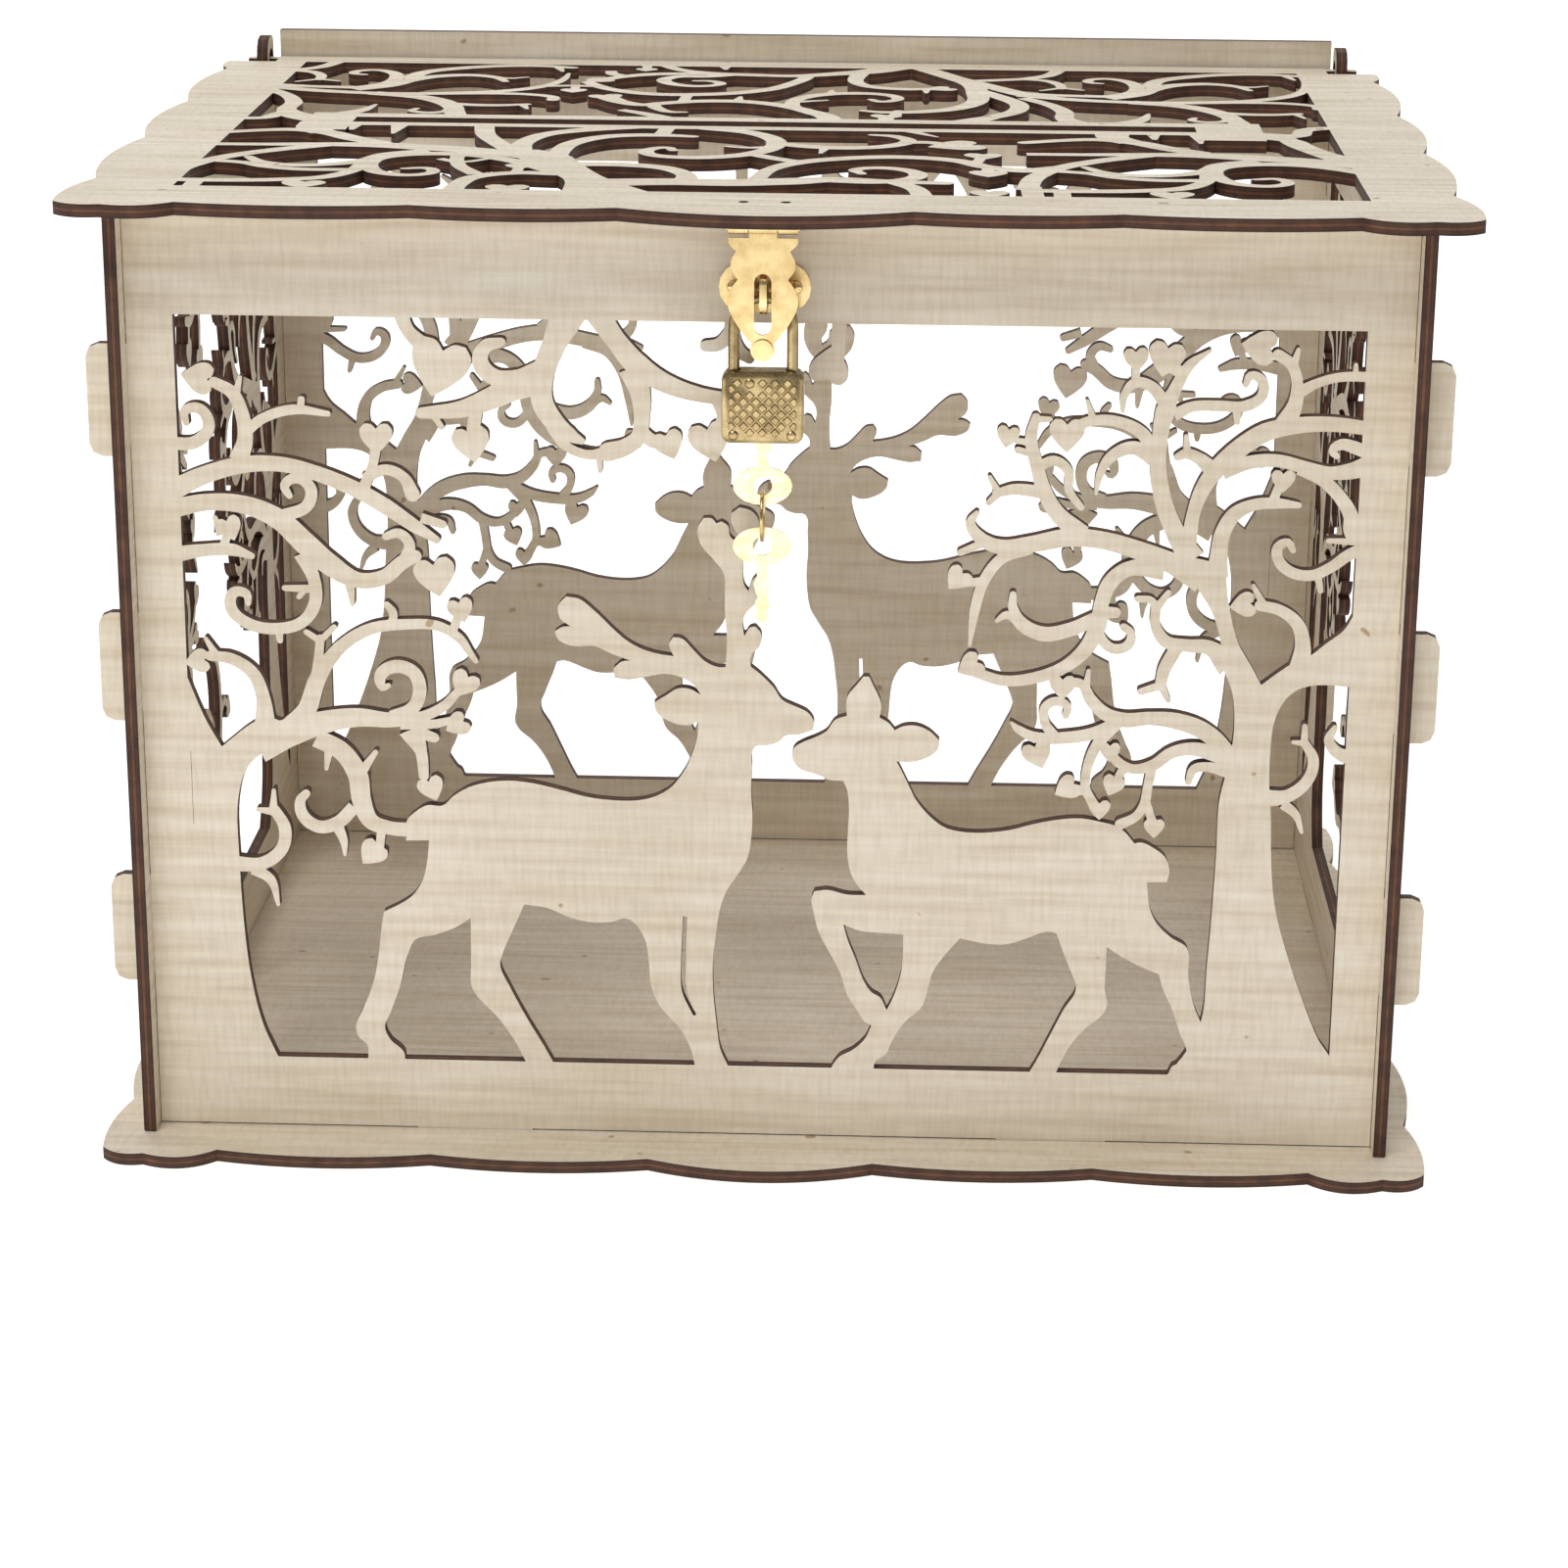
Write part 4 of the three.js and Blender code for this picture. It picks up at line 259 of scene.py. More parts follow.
def right_tree():
    return [
        smooth([[96, 20], [101.8, 28], [104.9, 35.5], [105.8, 50], [106.5, 65], [106.9, 80], [107, 91],
          [109.2, 102.8], [109.8, 110], [109, 118], [106.4, 124.8], [106, 129.4], [103.5, 137.5], [100, 143],
          [97, 147.5], [102.3, 148], [106.4, 150], [106.6, 144.2], [107.5, 138.4], [109.9, 130.1],
          [113.4, 124.2], [115.6, 120.1], [119.3, 123.1], [122.5, 125.4], [125.5, 126.6], [130.5, 130.7],
          [134, 133.6], [137, 139], [137, 120], [128, 120.2], [124, 119], [121, 116], [119, 111],
          [118.5, 105], [118.5, 97], [119.3, 88], [120, 75], [121.3, 65], [123.8, 56], [128, 44], [133, 32],
          [137, 25.3], [137, 20]], True),
        twig([[117, 92.3, 4.5], [123, 93, 3.2], [127.5, 97, 2.8], [128.6, 102, 2.6], [126.3, 106.3, 2]]),
        twig([[126.3, 106, 1.8], [126.2, 110.3, 1.2]]),
        twig([[126.5, 106, 1.6], [123.7, 106.3, 1]]),
        twig([[122, 91, 2.6], [125, 88.5, 2], [126.7, 84, 0.8]]),
        twig([[138, 102.5, 4], [134, 104, 2.8], [132, 107, 2.4], [133.2, 110, 1.4]]),
        twig([[101, 146, 8], [94, 149, 5], [86, 152, 4.4], [78, 154.2, 4.2], [70, 154.8, 4.4],
          [62, 153.2, 4], [54, 152.3, 3.6], [49.3, 154.5, 3], [47.2, 158, 2.2], [48.6, 160.3, 1.2]]),
        twig([[50, 153, 2], [45, 150.8, 1.6]]),
        twig([[73, 155.5, 4.5], [67, 160.5, 3.8], [63.8, 166, 3.4], [62, 172, 3], [60.6, 178, 2.8],
          [61.6, 183, 2]]),
        twig([[61.5, 182.5, 1.8], [64.8, 182.6, 1.2]]),
        twig([[63, 165.5, 3], [57, 166, 2.6], [53, 165, 2]]),
        twig([[53.5, 165, 1.8], [51.4, 168.8, 1]]),
        twig([[53.5, 165, 1.8], [51.3, 162.8, 1.4]]),
        twig([[88.5, 174, 3.5], [86.5, 179, 3], [80.5, 182.2, 2.6], [74, 182.3, 2.4], [71, 181, 2.6]]),
        heart(68.8, 179.3, 8, 0),
        twig([[74.5, 183, 1.8], [73.2, 187, 0.8]]),
        heart(55.3, 178.6, 5.2, -10),
        twig([[57, 177.5, 1.4], [60.8, 177, 1.6]]),
        twig([[60.5, 174.5, 1.6], [57.7, 175.3, 1.6]]),
        twig([[62, 171, 2.4], [66, 172.9, 2.4], [69.3, 170.5, 2.2], [69.6, 166, 2], [72.5, 162, 1.6]]),
        twig([[98.5, 150, 6], [94.3, 156.5, 4.4], [91.2, 164, 4], [89.8, 172, 3.6], [90, 179, 3.6],
          [91, 185, 4.4], [92.8, 189.5, 3], [96, 195.5, 2.4], [100.6, 199, 0.8]]),
        twig([[91, 186.5, 3], [87.5, 190.6, 2.6], [84, 191.4, 2.4], [81.6, 188.5, 1.8], [81.3, 184.8, 0.9]]),
        heart(84, 197, 5.6, 5),
        twig([[84, 191.5, 2], [84, 194.5, 1.8]]),
        heart(90.8, 197.3, 8.2, -10),
        twig([[94.5, 193.5, 2.6], [92.5, 195, 3]]),
        twig([[89, 173.5, 3.6], [84, 176.2, 3.2], [79, 174, 2.6], [76.6, 170, 1.8], [75.8, 165.3, 0.8]]),
        twig([[93, 184, 3], [97, 186, 2.4], [103, 186.3, 2.5], [109, 186.3, 2.6], [112.8, 188.8, 2.4],
          [112.6, 192.3, 2.3], [110, 193.4, 2], [109, 191.3, 1.4]]),
        twig([[107.2, 185.5, 2], [107.4, 182.6, 1.4]]),
        twig([[102.5, 171, 4], [99, 174, 2.8], [96, 175, 2.4], [94.2, 174.2, 1.8]]),
        twig([[96.3, 175.5, 1.8], [96, 179, 1.2]]),
        twig([[97.5, 154, 3.6], [98.3, 161, 3], [100.3, 167, 3.6], [103.5, 171.8, 4.2], [108, 176.3, 4.4],
          [114, 180.3, 4.4], [121, 182, 3.8], [129, 182.4, 3.5], [139, 181.3, 3.2]]),
        twig([[104.5, 171, 4], [110.5, 173.2, 3.2], [117, 173.7, 3], [123, 172.3, 3], [129, 171, 3],
          [134.5, 171.7, 4], [139, 173.5, 5]]),
        twig([[138, 175.6, 3], [134.5, 177, 3], [131.2, 177.7, 2.6], [129.4, 176.2, 2],
          [130.5, 174.9, 1.4]]),
        twig([[122, 172, 3], [127.5, 169.3, 3], [131.5, 165.5, 3], [134.3, 161, 3.4], [134.8, 157, 3.6],
          [138, 155, 4]]),
        twig([[139, 154.8, 2], [129.5, 155, 1.2]]),
        twig([[139, 154, 3], [134, 151.5, 2.8], [130.5, 148.8, 2.6], [126, 146.7, 2.6], [121.5, 147.3, 2.6],
          [118.4, 150, 2.6], [118, 153.2, 2.4], [120.3, 154.4, 2], [121.5, 152.6, 1.4]]),
        twig([[127.6, 146, 1.8], [128.3, 143, 1.2]]),
        twig([[104.4, 146, 5], [104.5, 151, 4], [105.2, 156.5, 3.6], [107.8, 161, 3.4], [112, 163.2, 2.8],
          [117, 163.7, 2.6], [122.3, 163.3, 1.4]]),
        heart(118.5, 169.2, 5.4, 0),
        twig([[116.5, 164.5, 2.2], [117.5, 167.5, 2]]),
        twig([[124, 123, 5], [124.8, 130, 3.6], [123.3, 135, 3], [119, 138.3, 2.6], [114.5, 139.3, 2.6]]),
        heart(110.8, 139.4, 6, -80),
        twig([[115, 140, 1.8], [112.8, 144, 1]]),
        twig([[118, 181.5, 5], [120.4, 187, 3.4], [120.6, 192, 2.6], [119.2, 196, 2.6], [116, 198.3, 2.6]]),
        heart(112, 200, 8, -100),
        twig([[119.6, 196, 2], [120.6, 199.6, 1]]),
        twig([[120.5, 189.3, 3], [125, 191.8, 2.2], [130, 193.3, 2.2], [139, 193.5, 2.4]]),
        twig([[133.7, 194, 1.4], [133.7, 196.2, 1]]),
        twig([[108, 124.5, 6], [103.5, 128.8, 3.6], [98, 129.4, 3], [93.2, 130.2, 3], [90.6, 134, 2.4],
          [90.5, 138.5, 2.2]]),
        twig([[90.5, 138, 2], [93.3, 142, 1.4]]),
        twig([[90.6, 138, 2], [89.5, 140, 1.8], [86.3, 140.4, 1.6]]),
        twig([[95.5, 128.5, 3.2], [93, 123.5, 3], [92.2, 119.5, 2.6]]),
        twig([[92, 119.5, 2], [87.7, 118, 1.6]]),
        twig([[92.4, 119.5, 2], [94.2, 116, 1.2]]),
        twig([[110, 99, 5], [107, 105, 4], [102, 109, 4.2], [96, 111, 4], [90, 111.5, 3.2], [84, 111, 3.6],
          [79.5, 112.5, 3.2], [76, 116, 2.8], [74, 119.5, 2.2], [71.5, 120, 2.4]]),
        heart(69.5, 119, 6, 0),
        twig([[75, 119, 1.8], [75.4, 122.8, 1]]),
        twig([[83, 110.5, 3], [77, 107.6, 3], [70.5, 106.4, 2.9], [63.5, 106.4, 2.6], [59.5, 108.2, 2],
          [57.8, 109.8, 0.8]]),
        twig([[68, 106.5, 2.6], [65.6, 110, 2.2], [65.6, 113.8, 2.2], [68.2, 115.3, 2.2], [70.7, 114, 2],
          [70.4, 111.8, 1.6]]),
        heart(64, 102.3, 6.8, 20),
        twig([[65.6, 106.5, 2.6], [64.6, 103, 2.8]]),
        twig([[82, 110, 3.4], [77.8, 104.5, 2.6], [75.8, 99, 2.2], [75.6, 94, 2.2], [77.6, 90, 2.4]]),
        heart(79, 89, 5, 0),
        twig([[76, 93.2, 2.2], [72.5, 93.8, 2.6]]),
        heart(71.3, 94, 6, -60),
        twig([[112, 101, 6], [106, 103, 4], [100, 104.2, 3.2], [95.5, 103.2, 2.8], [91, 99.9, 2.8],
          [86.5, 99, 2.3], [83, 100.6, 2.4], [81.3, 102.6, 2.2]]),
        heart(81, 103.3, 4.8, 0),
        twig([[84.5, 99.6, 2], [83, 96.4, 2]]),
        heart(82, 95, 5.2, -20),
        twig([[91, 99.8, 2.4], [90.2, 95, 2.2], [89.4, 90, 2.3], [87.6, 87.2, 2.2], [84, 85.2, 2.6]]),
        twig([[89.8, 91, 2.2], [91, 87.6, 2], [92, 85, 2]]),
        heart(92, 84.6, 4.8, 0),
        twig([[110, 98.4, 3.4], [104, 99.8, 2.4], [100.8, 99.2, 2.2], [99.6, 96, 1.4]]),
        twig([[92, 147.5, 5], [84, 147.6, 3.6], [79.8, 144.3, 3.6], [78, 139.5, 3.4], [77.3, 134, 4],
          [74.5, 128, 3.6], [69.5, 123.5, 3], [62.5, 120.8, 2.8], [55.5, 120.1, 2.6], [49, 122, 2.4]]),
        heart(48, 123.6, 6.2, -60),
        twig([[76.8, 135.5, 3.4], [71, 132.8, 3.4], [64.5, 131.6, 3.6], [59.3, 134.2, 3.2], [57.4, 138, 2.2],
          [57.4, 141, 1.6]]),
        twig([[59.5, 134, 2.6], [56, 136, 2], [53.8, 134.6, 1]]),
        twig([[77, 134, 2.6], [78.2, 130.5, 2.4], [81, 128.3, 2.4], [84.3, 129.2, 2.4], [85, 132, 2],
          [83.2, 133.6, 1.8]]),
        twig([[78.4, 137, 3], [81.2, 137, 2.6]]),
        twig([[61, 152.6, 4], [54.5, 149.5, 2.6], [50.5, 144, 2.6], [48.6, 137, 2.4], [47.6, 128.5, 0.8]]),
        twig([[50.6, 144, 2.2], [47, 143.6, 2]]),
        heart(44.6, 144.6, 6, -40),
    ]


def hanging_vines():
    return [
        heart(-75, 193, 13.5, -15),
        twig([[-84, 206, 3.5], [-82, 201, 3], [-78, 197, 4]]),
        twig([[-45, 206, 8], [-48.5, 198.5, 5.5], [-51.3, 191, 5], [-51.5, 185, 5], [-49, 180.5, 4.6],
          [-45, 177, 3.4], [-42.5, 175.8, 1.6]]),
        twig([[-51, 190, 7], [-57, 188.6, 6.5], [-63, 185.6, 5.2], [-70, 182.9, 4], [-79.5, 181.8, 2.6]]),
        twig([[-52, 192, 5], [-57, 190.5, 3.6], [-62.5, 190.5, 4], [-65.6, 194, 3.8], [-64.3, 197.6, 3.2],
          [-60.8, 198.6, 2.2]]),
        twig([[-66.5, 184, 3], [-67.5, 178, 3]]),
        heart(-68, 175, 8.5, 10),
        twig([[-77, 182, 1.6], [-74.8, 178.6, 1.4]]),
        twig([[-39, 206, 5.5], [-34.5, 199.5, 4.6], [-29.5, 193.6, 5.5], [-23, 189.5, 4.4], [-15, 187, 3.4],
          [-7, 186.2, 3], [1, 187.4, 2.4], [8.3, 189.6, 0.8]]),
        twig([[-31, 193, 6], [-28.9, 187, 4.6], [-28.7, 181, 3.6], [-29.4, 177, 3.6], [-32.5, 174.5, 4],
          [-36.5, 173.3, 4.5]]),
        twig([[-29, 178.5, 3], [-26, 176, 3.2], [-22, 176, 3]]),
        heart(-22.5, 175.5, 7, 20),
        twig([[-35, 173.8, 3], [-41, 172.6, 2.2], [-46.5, 174.8, 2.2], [-49.5, 178.6, 2]]),
        twig([[-38.5, 172.5, 1.8], [-38.3, 168.8, 1]]),
        twig([[-11, 186.5, 4], [-10.2, 182, 2.4], [-11.5, 177.5, 3]]),
        heart(-13, 176.5, 9.5, 15),
        twig([[-7, 206, 4.5], [-8, 201.5, 3.6], [-6.5, 197.5, 3.2], [-4, 195.6, 2.4]]),
        twig([[-8.5, 201.5, 3], [-11, 198.8, 3], [-14, 198.4, 2.6]]),
        twig([[16.5, 206, 3.5], [16.2, 196, 3]]),
        heart(14.3, 194, 9, 170),
    ]


def buck():
    return [
        smooth([[-85, 79.8], [-85, 82.8], [-83, 85], [-80, 86.8], [-76.3, 86.8], [-74, 89], [-70, 91.5],
          [-65, 92.9], [-60, 93.3], [-55, 92.8], [-48, 91.2], [-42, 89.6], [-36, 88.9], [-30, 89], [-26, 90],
          [-22, 92.5], [-19, 96.5], [-17, 101], [-15.8, 105.5], [-15.7, 108.8], [-18, 107.8], [-22, 108.5],
          [-25.5, 111], [-26, 113.3], [-23, 115.2], [-20.5, 116.8], [-17.5, 116.7], [-15, 115.3], [-17, 118],
          [-21, 120], [-24, 120.3], [-28, 119.5], [-32, 118.8], [-35.3, 119.2], [-35.5, 121.5],
          [-33.5, 123.2], [-31.5, 123.4], [-36, 125], [-40, 126.8], [-45, 126.7], [-48.5, 128.3],
          [-49.2, 130.2], [-47.5, 131.3], [-45.5, 131.5], [-48, 133.5], [-48.3, 136.5], [-46.5, 138.7],
          [-43.5, 138.2], [-40, 135.5], [-36, 131.5], [-32, 128], [-28, 126], [-24, 125], [-21.4, 124.7],
          [-22.5, 127.5], [-21.5, 129.3], [-19.5, 129], [-17, 126.5], [-14, 123.5], [-11, 122.2],
          [-9.3, 122.2], [-9, 126], [-9, 130], [-9.5, 136], [-9.5, 140], [-9.8, 145], [-12, 148],
          [-15, 151.5], [-15.8, 155.5], [-14.5, 158], [-12.5, 158], [-11.5, 156.8], [-10.3, 157.3],
          [-8.8, 156.3], [-8.3, 153.8], [-6.7, 152.4], [-6.5, 154], [-8, 156.8], [-8, 159.3], [-6.2, 160.7],
          [-3.5, 160], [-1.8, 158], [-1.5, 154.5], [-3, 150.5], [-5, 148], [-5.3, 145], [-4.9, 142],
          [-4, 140.8], [-3, 143.5], [-2, 144.5], [-0.5, 143.3], [-0.5, 140], [-2.5, 137.5], [-4.5, 135.5],
          [-5.3, 133], [-4.9, 129.8], [-3.5, 132], [-2.3, 132.2], [-1, 130.5], [-1.3, 127.5], [-3.2, 125.3],
          [-3.4, 122.5], [-1.5, 121], [0, 119.6], [2, 117.5], [4, 114.5], [7, 113], [10, 111.5],
          [11.5, 109.3], [11.3, 107.2], [8, 106], [5, 105.7], [3, 104], [0.5, 103.2], [-2, 103], [-3, 101.5],
          [-3, 98], [-3.2, 92], [-2.8, 86], [-3.1, 80], [-4, 75], [-6.5, 70.5], [-9, 66.5], [-10.5, 62],
          [-11.5, 55], [-12.2, 48], [-12, 40], [-11.3, 33], [-10.3, 26], [-8.5, 21.8], [-16.5, 21.8],
          [-17.5, 26], [-20, 31], [-25, 37], [-27, 42], [-27.5, 48], [-28.5, 54], [-31.5, 58.5],
          [-33.5, 59.2], [-36, 58.3], [-41, 58], [-46, 59], [-52, 61.5], [-57.3, 62.2], [-60, 56],
          [-63, 48.5], [-63.3, 46.5], [-61, 41], [-57, 33], [-53, 26], [-50.8, 21.8], [-57.5, 21.8],
          [-60, 27], [-64, 33], [-69, 38.5], [-70.3, 41], [-70.3, 47], [-70.2, 58.5], [-74, 56], [-79, 54],
          [-83.5, 52.8], [-85.5, 49], [-87.5, 41], [-90, 34], [-91.5, 30], [-90, 26.5], [-88, 24.8],
          [-87, 23.5], [-86.8, 21.8], [-95.8, 21.8], [-95.8, 25], [-98, 27.5], [-98.5, 30], [-96.5, 35],
          [-94, 41.5], [-92.5, 49], [-91.8, 55], [-91, 59.7], [-87, 61.8], [-84, 64], [-81.5, 68],
          [-80.3, 73], [-79.8, 78], [-85.3, 77.8]], True),
    ]


def doe():
    return [
        smooth([[6.5, 101.5], [7, 99], [9, 97.2], [11.5, 96.5], [13.5, 95.8], [15, 95], [18.5, 94.8],
          [19.5, 92.5], [20, 88], [19.8, 82], [19.7, 77], [20.5, 72], [22, 69], [24.3, 66.3], [20, 66.3],
          [15, 67.4], [12, 67], [11.3, 65], [11.8, 62], [13, 57], [16, 51], [18.5, 46], [20, 41], [23, 36],
          [24.5, 33.8], [26, 33], [24.5, 29.5], [21.5, 26.5], [18.5, 24.8], [16.8, 22.5], [16.5, 21.8],
          [26.7, 21.8], [27, 23.5], [29.5, 25.5], [31, 29], [34, 34], [38, 38], [39.5, 43], [40.5, 47],
          [43, 51], [46.8, 55.7], [49, 55.3], [53, 54.5], [58, 54.5], [62, 55.8], [66, 57.5], [68, 57.9],
          [69.8, 57.5], [71, 54], [73, 49], [74.8, 43.3], [72, 38], [69, 31.5], [66, 25], [64.3, 21.8],
          [70.7, 21.8], [71.5, 24], [74, 29], [77.5, 33.5], [81, 36.5], [82.3, 39], [81.7, 44], [81.8, 50],
          [81.8, 54.3], [86, 51.5], [91, 49], [94.5, 47.6], [95.5, 44], [98, 38.5], [100, 32.5], [101.8, 28],
          [101.2, 25.3], [98.5, 24], [97.6, 21.8], [112, 20], [112, 34], [104.9, 35.5], [103, 40],
          [101.5, 47], [100.8, 54.5], [97, 57], [93.5, 60.5], [91.8, 64], [90.8, 70.8], [95.5, 71],
          [96, 73.5], [95, 77], [92, 79.5], [89, 80.8], [87.5, 80.5], [85, 83.5], [83, 84.8], [80, 85.6],
          [75, 86.5], [70, 86.2], [64, 85], [58, 83.3], [52, 82.5], [47, 82.6], [43, 83.5], [40, 85.5],
          [36, 90], [33.5, 95], [31.5, 99], [31, 99.8], [34, 99.7], [38, 100.8], [40.7, 103], [41, 105.2],
          [38.5, 107.5], [35.5, 108.7], [32.5, 108.5], [30.5, 107.5], [29, 109.3], [26.9, 110.5],
          [27.2, 114], [25.5, 118], [24.3, 120.5], [23, 120.5], [21.5, 118.5], [19.3, 115.5], [19.2, 110.8],
          [16.5, 109.8], [14.5, 107], [12, 105.5], [9, 104.2], [7, 102.8]], True),
    ]


def scene_slits():
    """The narrow slits and holes inside the trees and the deer."""
    return [
        twig([[-136.3, 81, 0.8], [-136.3, 99, 0.8]]),
        twig([[-18.8, 60, 1], [-19.2, 48, 1.2], [-19, 41, 1.2], [-16.6, 35, 0.8]]),
        smooth([[19, 58.7], [20, 55], [22, 50], [24, 44.5], [26, 41.5], [28, 40.3], [29.6, 37], [31, 40],
          [32.8, 46], [33.3, 52], [33.3, 56.5], [29, 56.7], [23, 57.2]], True),
    ]


# ---------------------------------------------------------------- lid scrollwork
# Drawn in [x, y] with y = 0 at the side panels' front edges.


def lid_scrolls():
    """The scrolls that come twice, left and right of the lid's middle."""
    return [
        # Behind the card slot.
        twig([[-139, 168, 5], [-128, 162.5, 5], [-116, 159, 4.6], [-104, 157.5, 4.6], [-92, 159, 4.6],
          [-80, 162.5, 4.4], [-71, 168.5, 4], [-65, 177, 3.2], [-62.5, 187, 2.4], [-62, 198, 1]]),
        twig([[-110, 158, 6], [-98, 153, 6], [-91, 146, 6], [-87, 138, 5.5], [-85, 129, 5], [-84, 121, 6]]),
        twig([[-86.5, 133, 3], [-88, 127.5, 2.8], [-92.5, 126, 2.8], [-96, 128.8, 2.4],
          [-95.2, 132.4, 1.8]]),
        twig([[-89, 142, 4], [-82, 139.8, 4], [-74, 139.8, 3.6], [-68, 141.8, 2.8]]),
        twig([[-69, 141.5, 2.6], [-67, 134, 1]]),
        twig([[-95, 158, 4], [-80, 160, 4], [-69, 159, 3.6], [-62.5, 155, 3.2], [-62, 150, 3.4]]),
        twig([[-116, 164.5, 6], [-107.5, 172, 5], [-103, 182, 5], [-97, 189.5, 5], [-88, 192.5, 4.4],
          [-81, 189, 3.4], [-77.5, 181.5, 2]]),
        twig([[-82, 189.5, 3], [-77, 187.6, 2.4], [-72.5, 190, 1.4]]),
        twig([[-104, 184, 5], [-101, 197, 4.6], [-93, 205, 5], [-82, 210.5, 4.6], [-70, 211.5, 4],
          [-62, 209, 3.4]]),
        twig([[-66, 210, 3], [-64, 201.5, 1]]),
        twig([[-138, 197, 4], [-131, 204, 4], [-127, 216, 4]]),
        twig([[-116, 166, 5], [-109, 175, 4.4], [-107.5, 187, 4], [-110, 196, 3.6], [-115, 200, 3.2],
          [-119.5, 197.5, 3], [-119.5, 192.5, 2.8], [-116.8, 191.2, 2.2]]),
        twig([[-139, 171, 5], [-128, 168.5, 4], [-116, 167.5, 4.4]]),
        twig([[-139, 198, 3.6], [-131.5, 195, 3.4], [-128, 188, 3], [-127.5, 181, 2.6]]),
        twig([[-127.5, 182, 2.2], [-133, 177, 1.4]]),
        twig([[-127.5, 182, 2.2], [-122, 178.6, 1.4]]),
        twig([[-138, 163, 4], [-131.5, 152, 4], [-128, 140, 4.6], [-128, 128, 5], [-124, 119, 8],
          [-116, 112, 10]]),
        twig([[-139, 113, 4], [-131.5, 114.5, 4], [-128.6, 122, 4.6]]),
        twig([[-113, 122, 6], [-109, 128, 4], [-107.5, 133, 2.4], [-106.5, 138.5, 1]]),
        # In front of it.
        twig([[-139, 72.5, 4], [-125, 73, 4], [-112, 74, 5], [-98, 74, 7], [-84, 71, 8.6], [-70, 66.5, 8],
          [-58, 60, 8]]),
        twig([[-96, 76, 6], [-105, 84, 6], [-112, 92, 6], [-121, 96, 4.6], [-130, 94, 4], [-139, 90, 4]]),
        twig([[-113, 92, 7], [-117, 99, 8], [-117, 108, 9]]),
        twig([[-75, 107, 5], [-73, 92, 5], [-69, 80, 5], [-64, 67, 5]]),
        twig([[-96, 107, 5], [-96, 92, 1]]),
        twig([[-107, 107, 4], [-107, 97.5, 1.4]]),
        twig([[-84, 66, 6], [-93, 60, 5.6], [-97.5, 51, 5], [-104, 45.5, 4], [-113, 43.5, 4],
          [-121, 47, 3.6], [-125.5, 54.5, 2.4]]),
        twig([[-134, 49, 3.6], [-125, 46, 3.6], [-119, 41, 4], [-110, 37.8, 4], [-99, 38, 4]]),
        twig([[-95.5, 55, 5], [-95.5, 44, 4.6], [-91, 34, 4], [-84, 31.5, 3.6], [-79.5, 35.5, 3.2],
          [-81.5, 41.5, 3], [-86.5, 40.5, 2.2]]),
        twig([[-96.5, 47, 4], [-93, 57, 4.6], [-84, 62, 5], [-73, 61, 5], [-64, 55, 5], [-57, 47, 5],
          [-50, 38, 6]]),
        twig([[-97, 48, 4], [-98.5, 36, 4], [-104, 27, 4.6], [-114, 23, 4.6], [-126, 21.5, 4.6],
          [-139, 21.5, 4.6]]),
        heart(-107, 18, 10, 0),
        twig([[-132, 11, 4], [-132, 21, 4]]),
        twig([[-140, 22, 5], [-137.5, 40, 5], [-131, 54, 5], [-122, 64, 5], [-110, 73, 5]]),
    ]


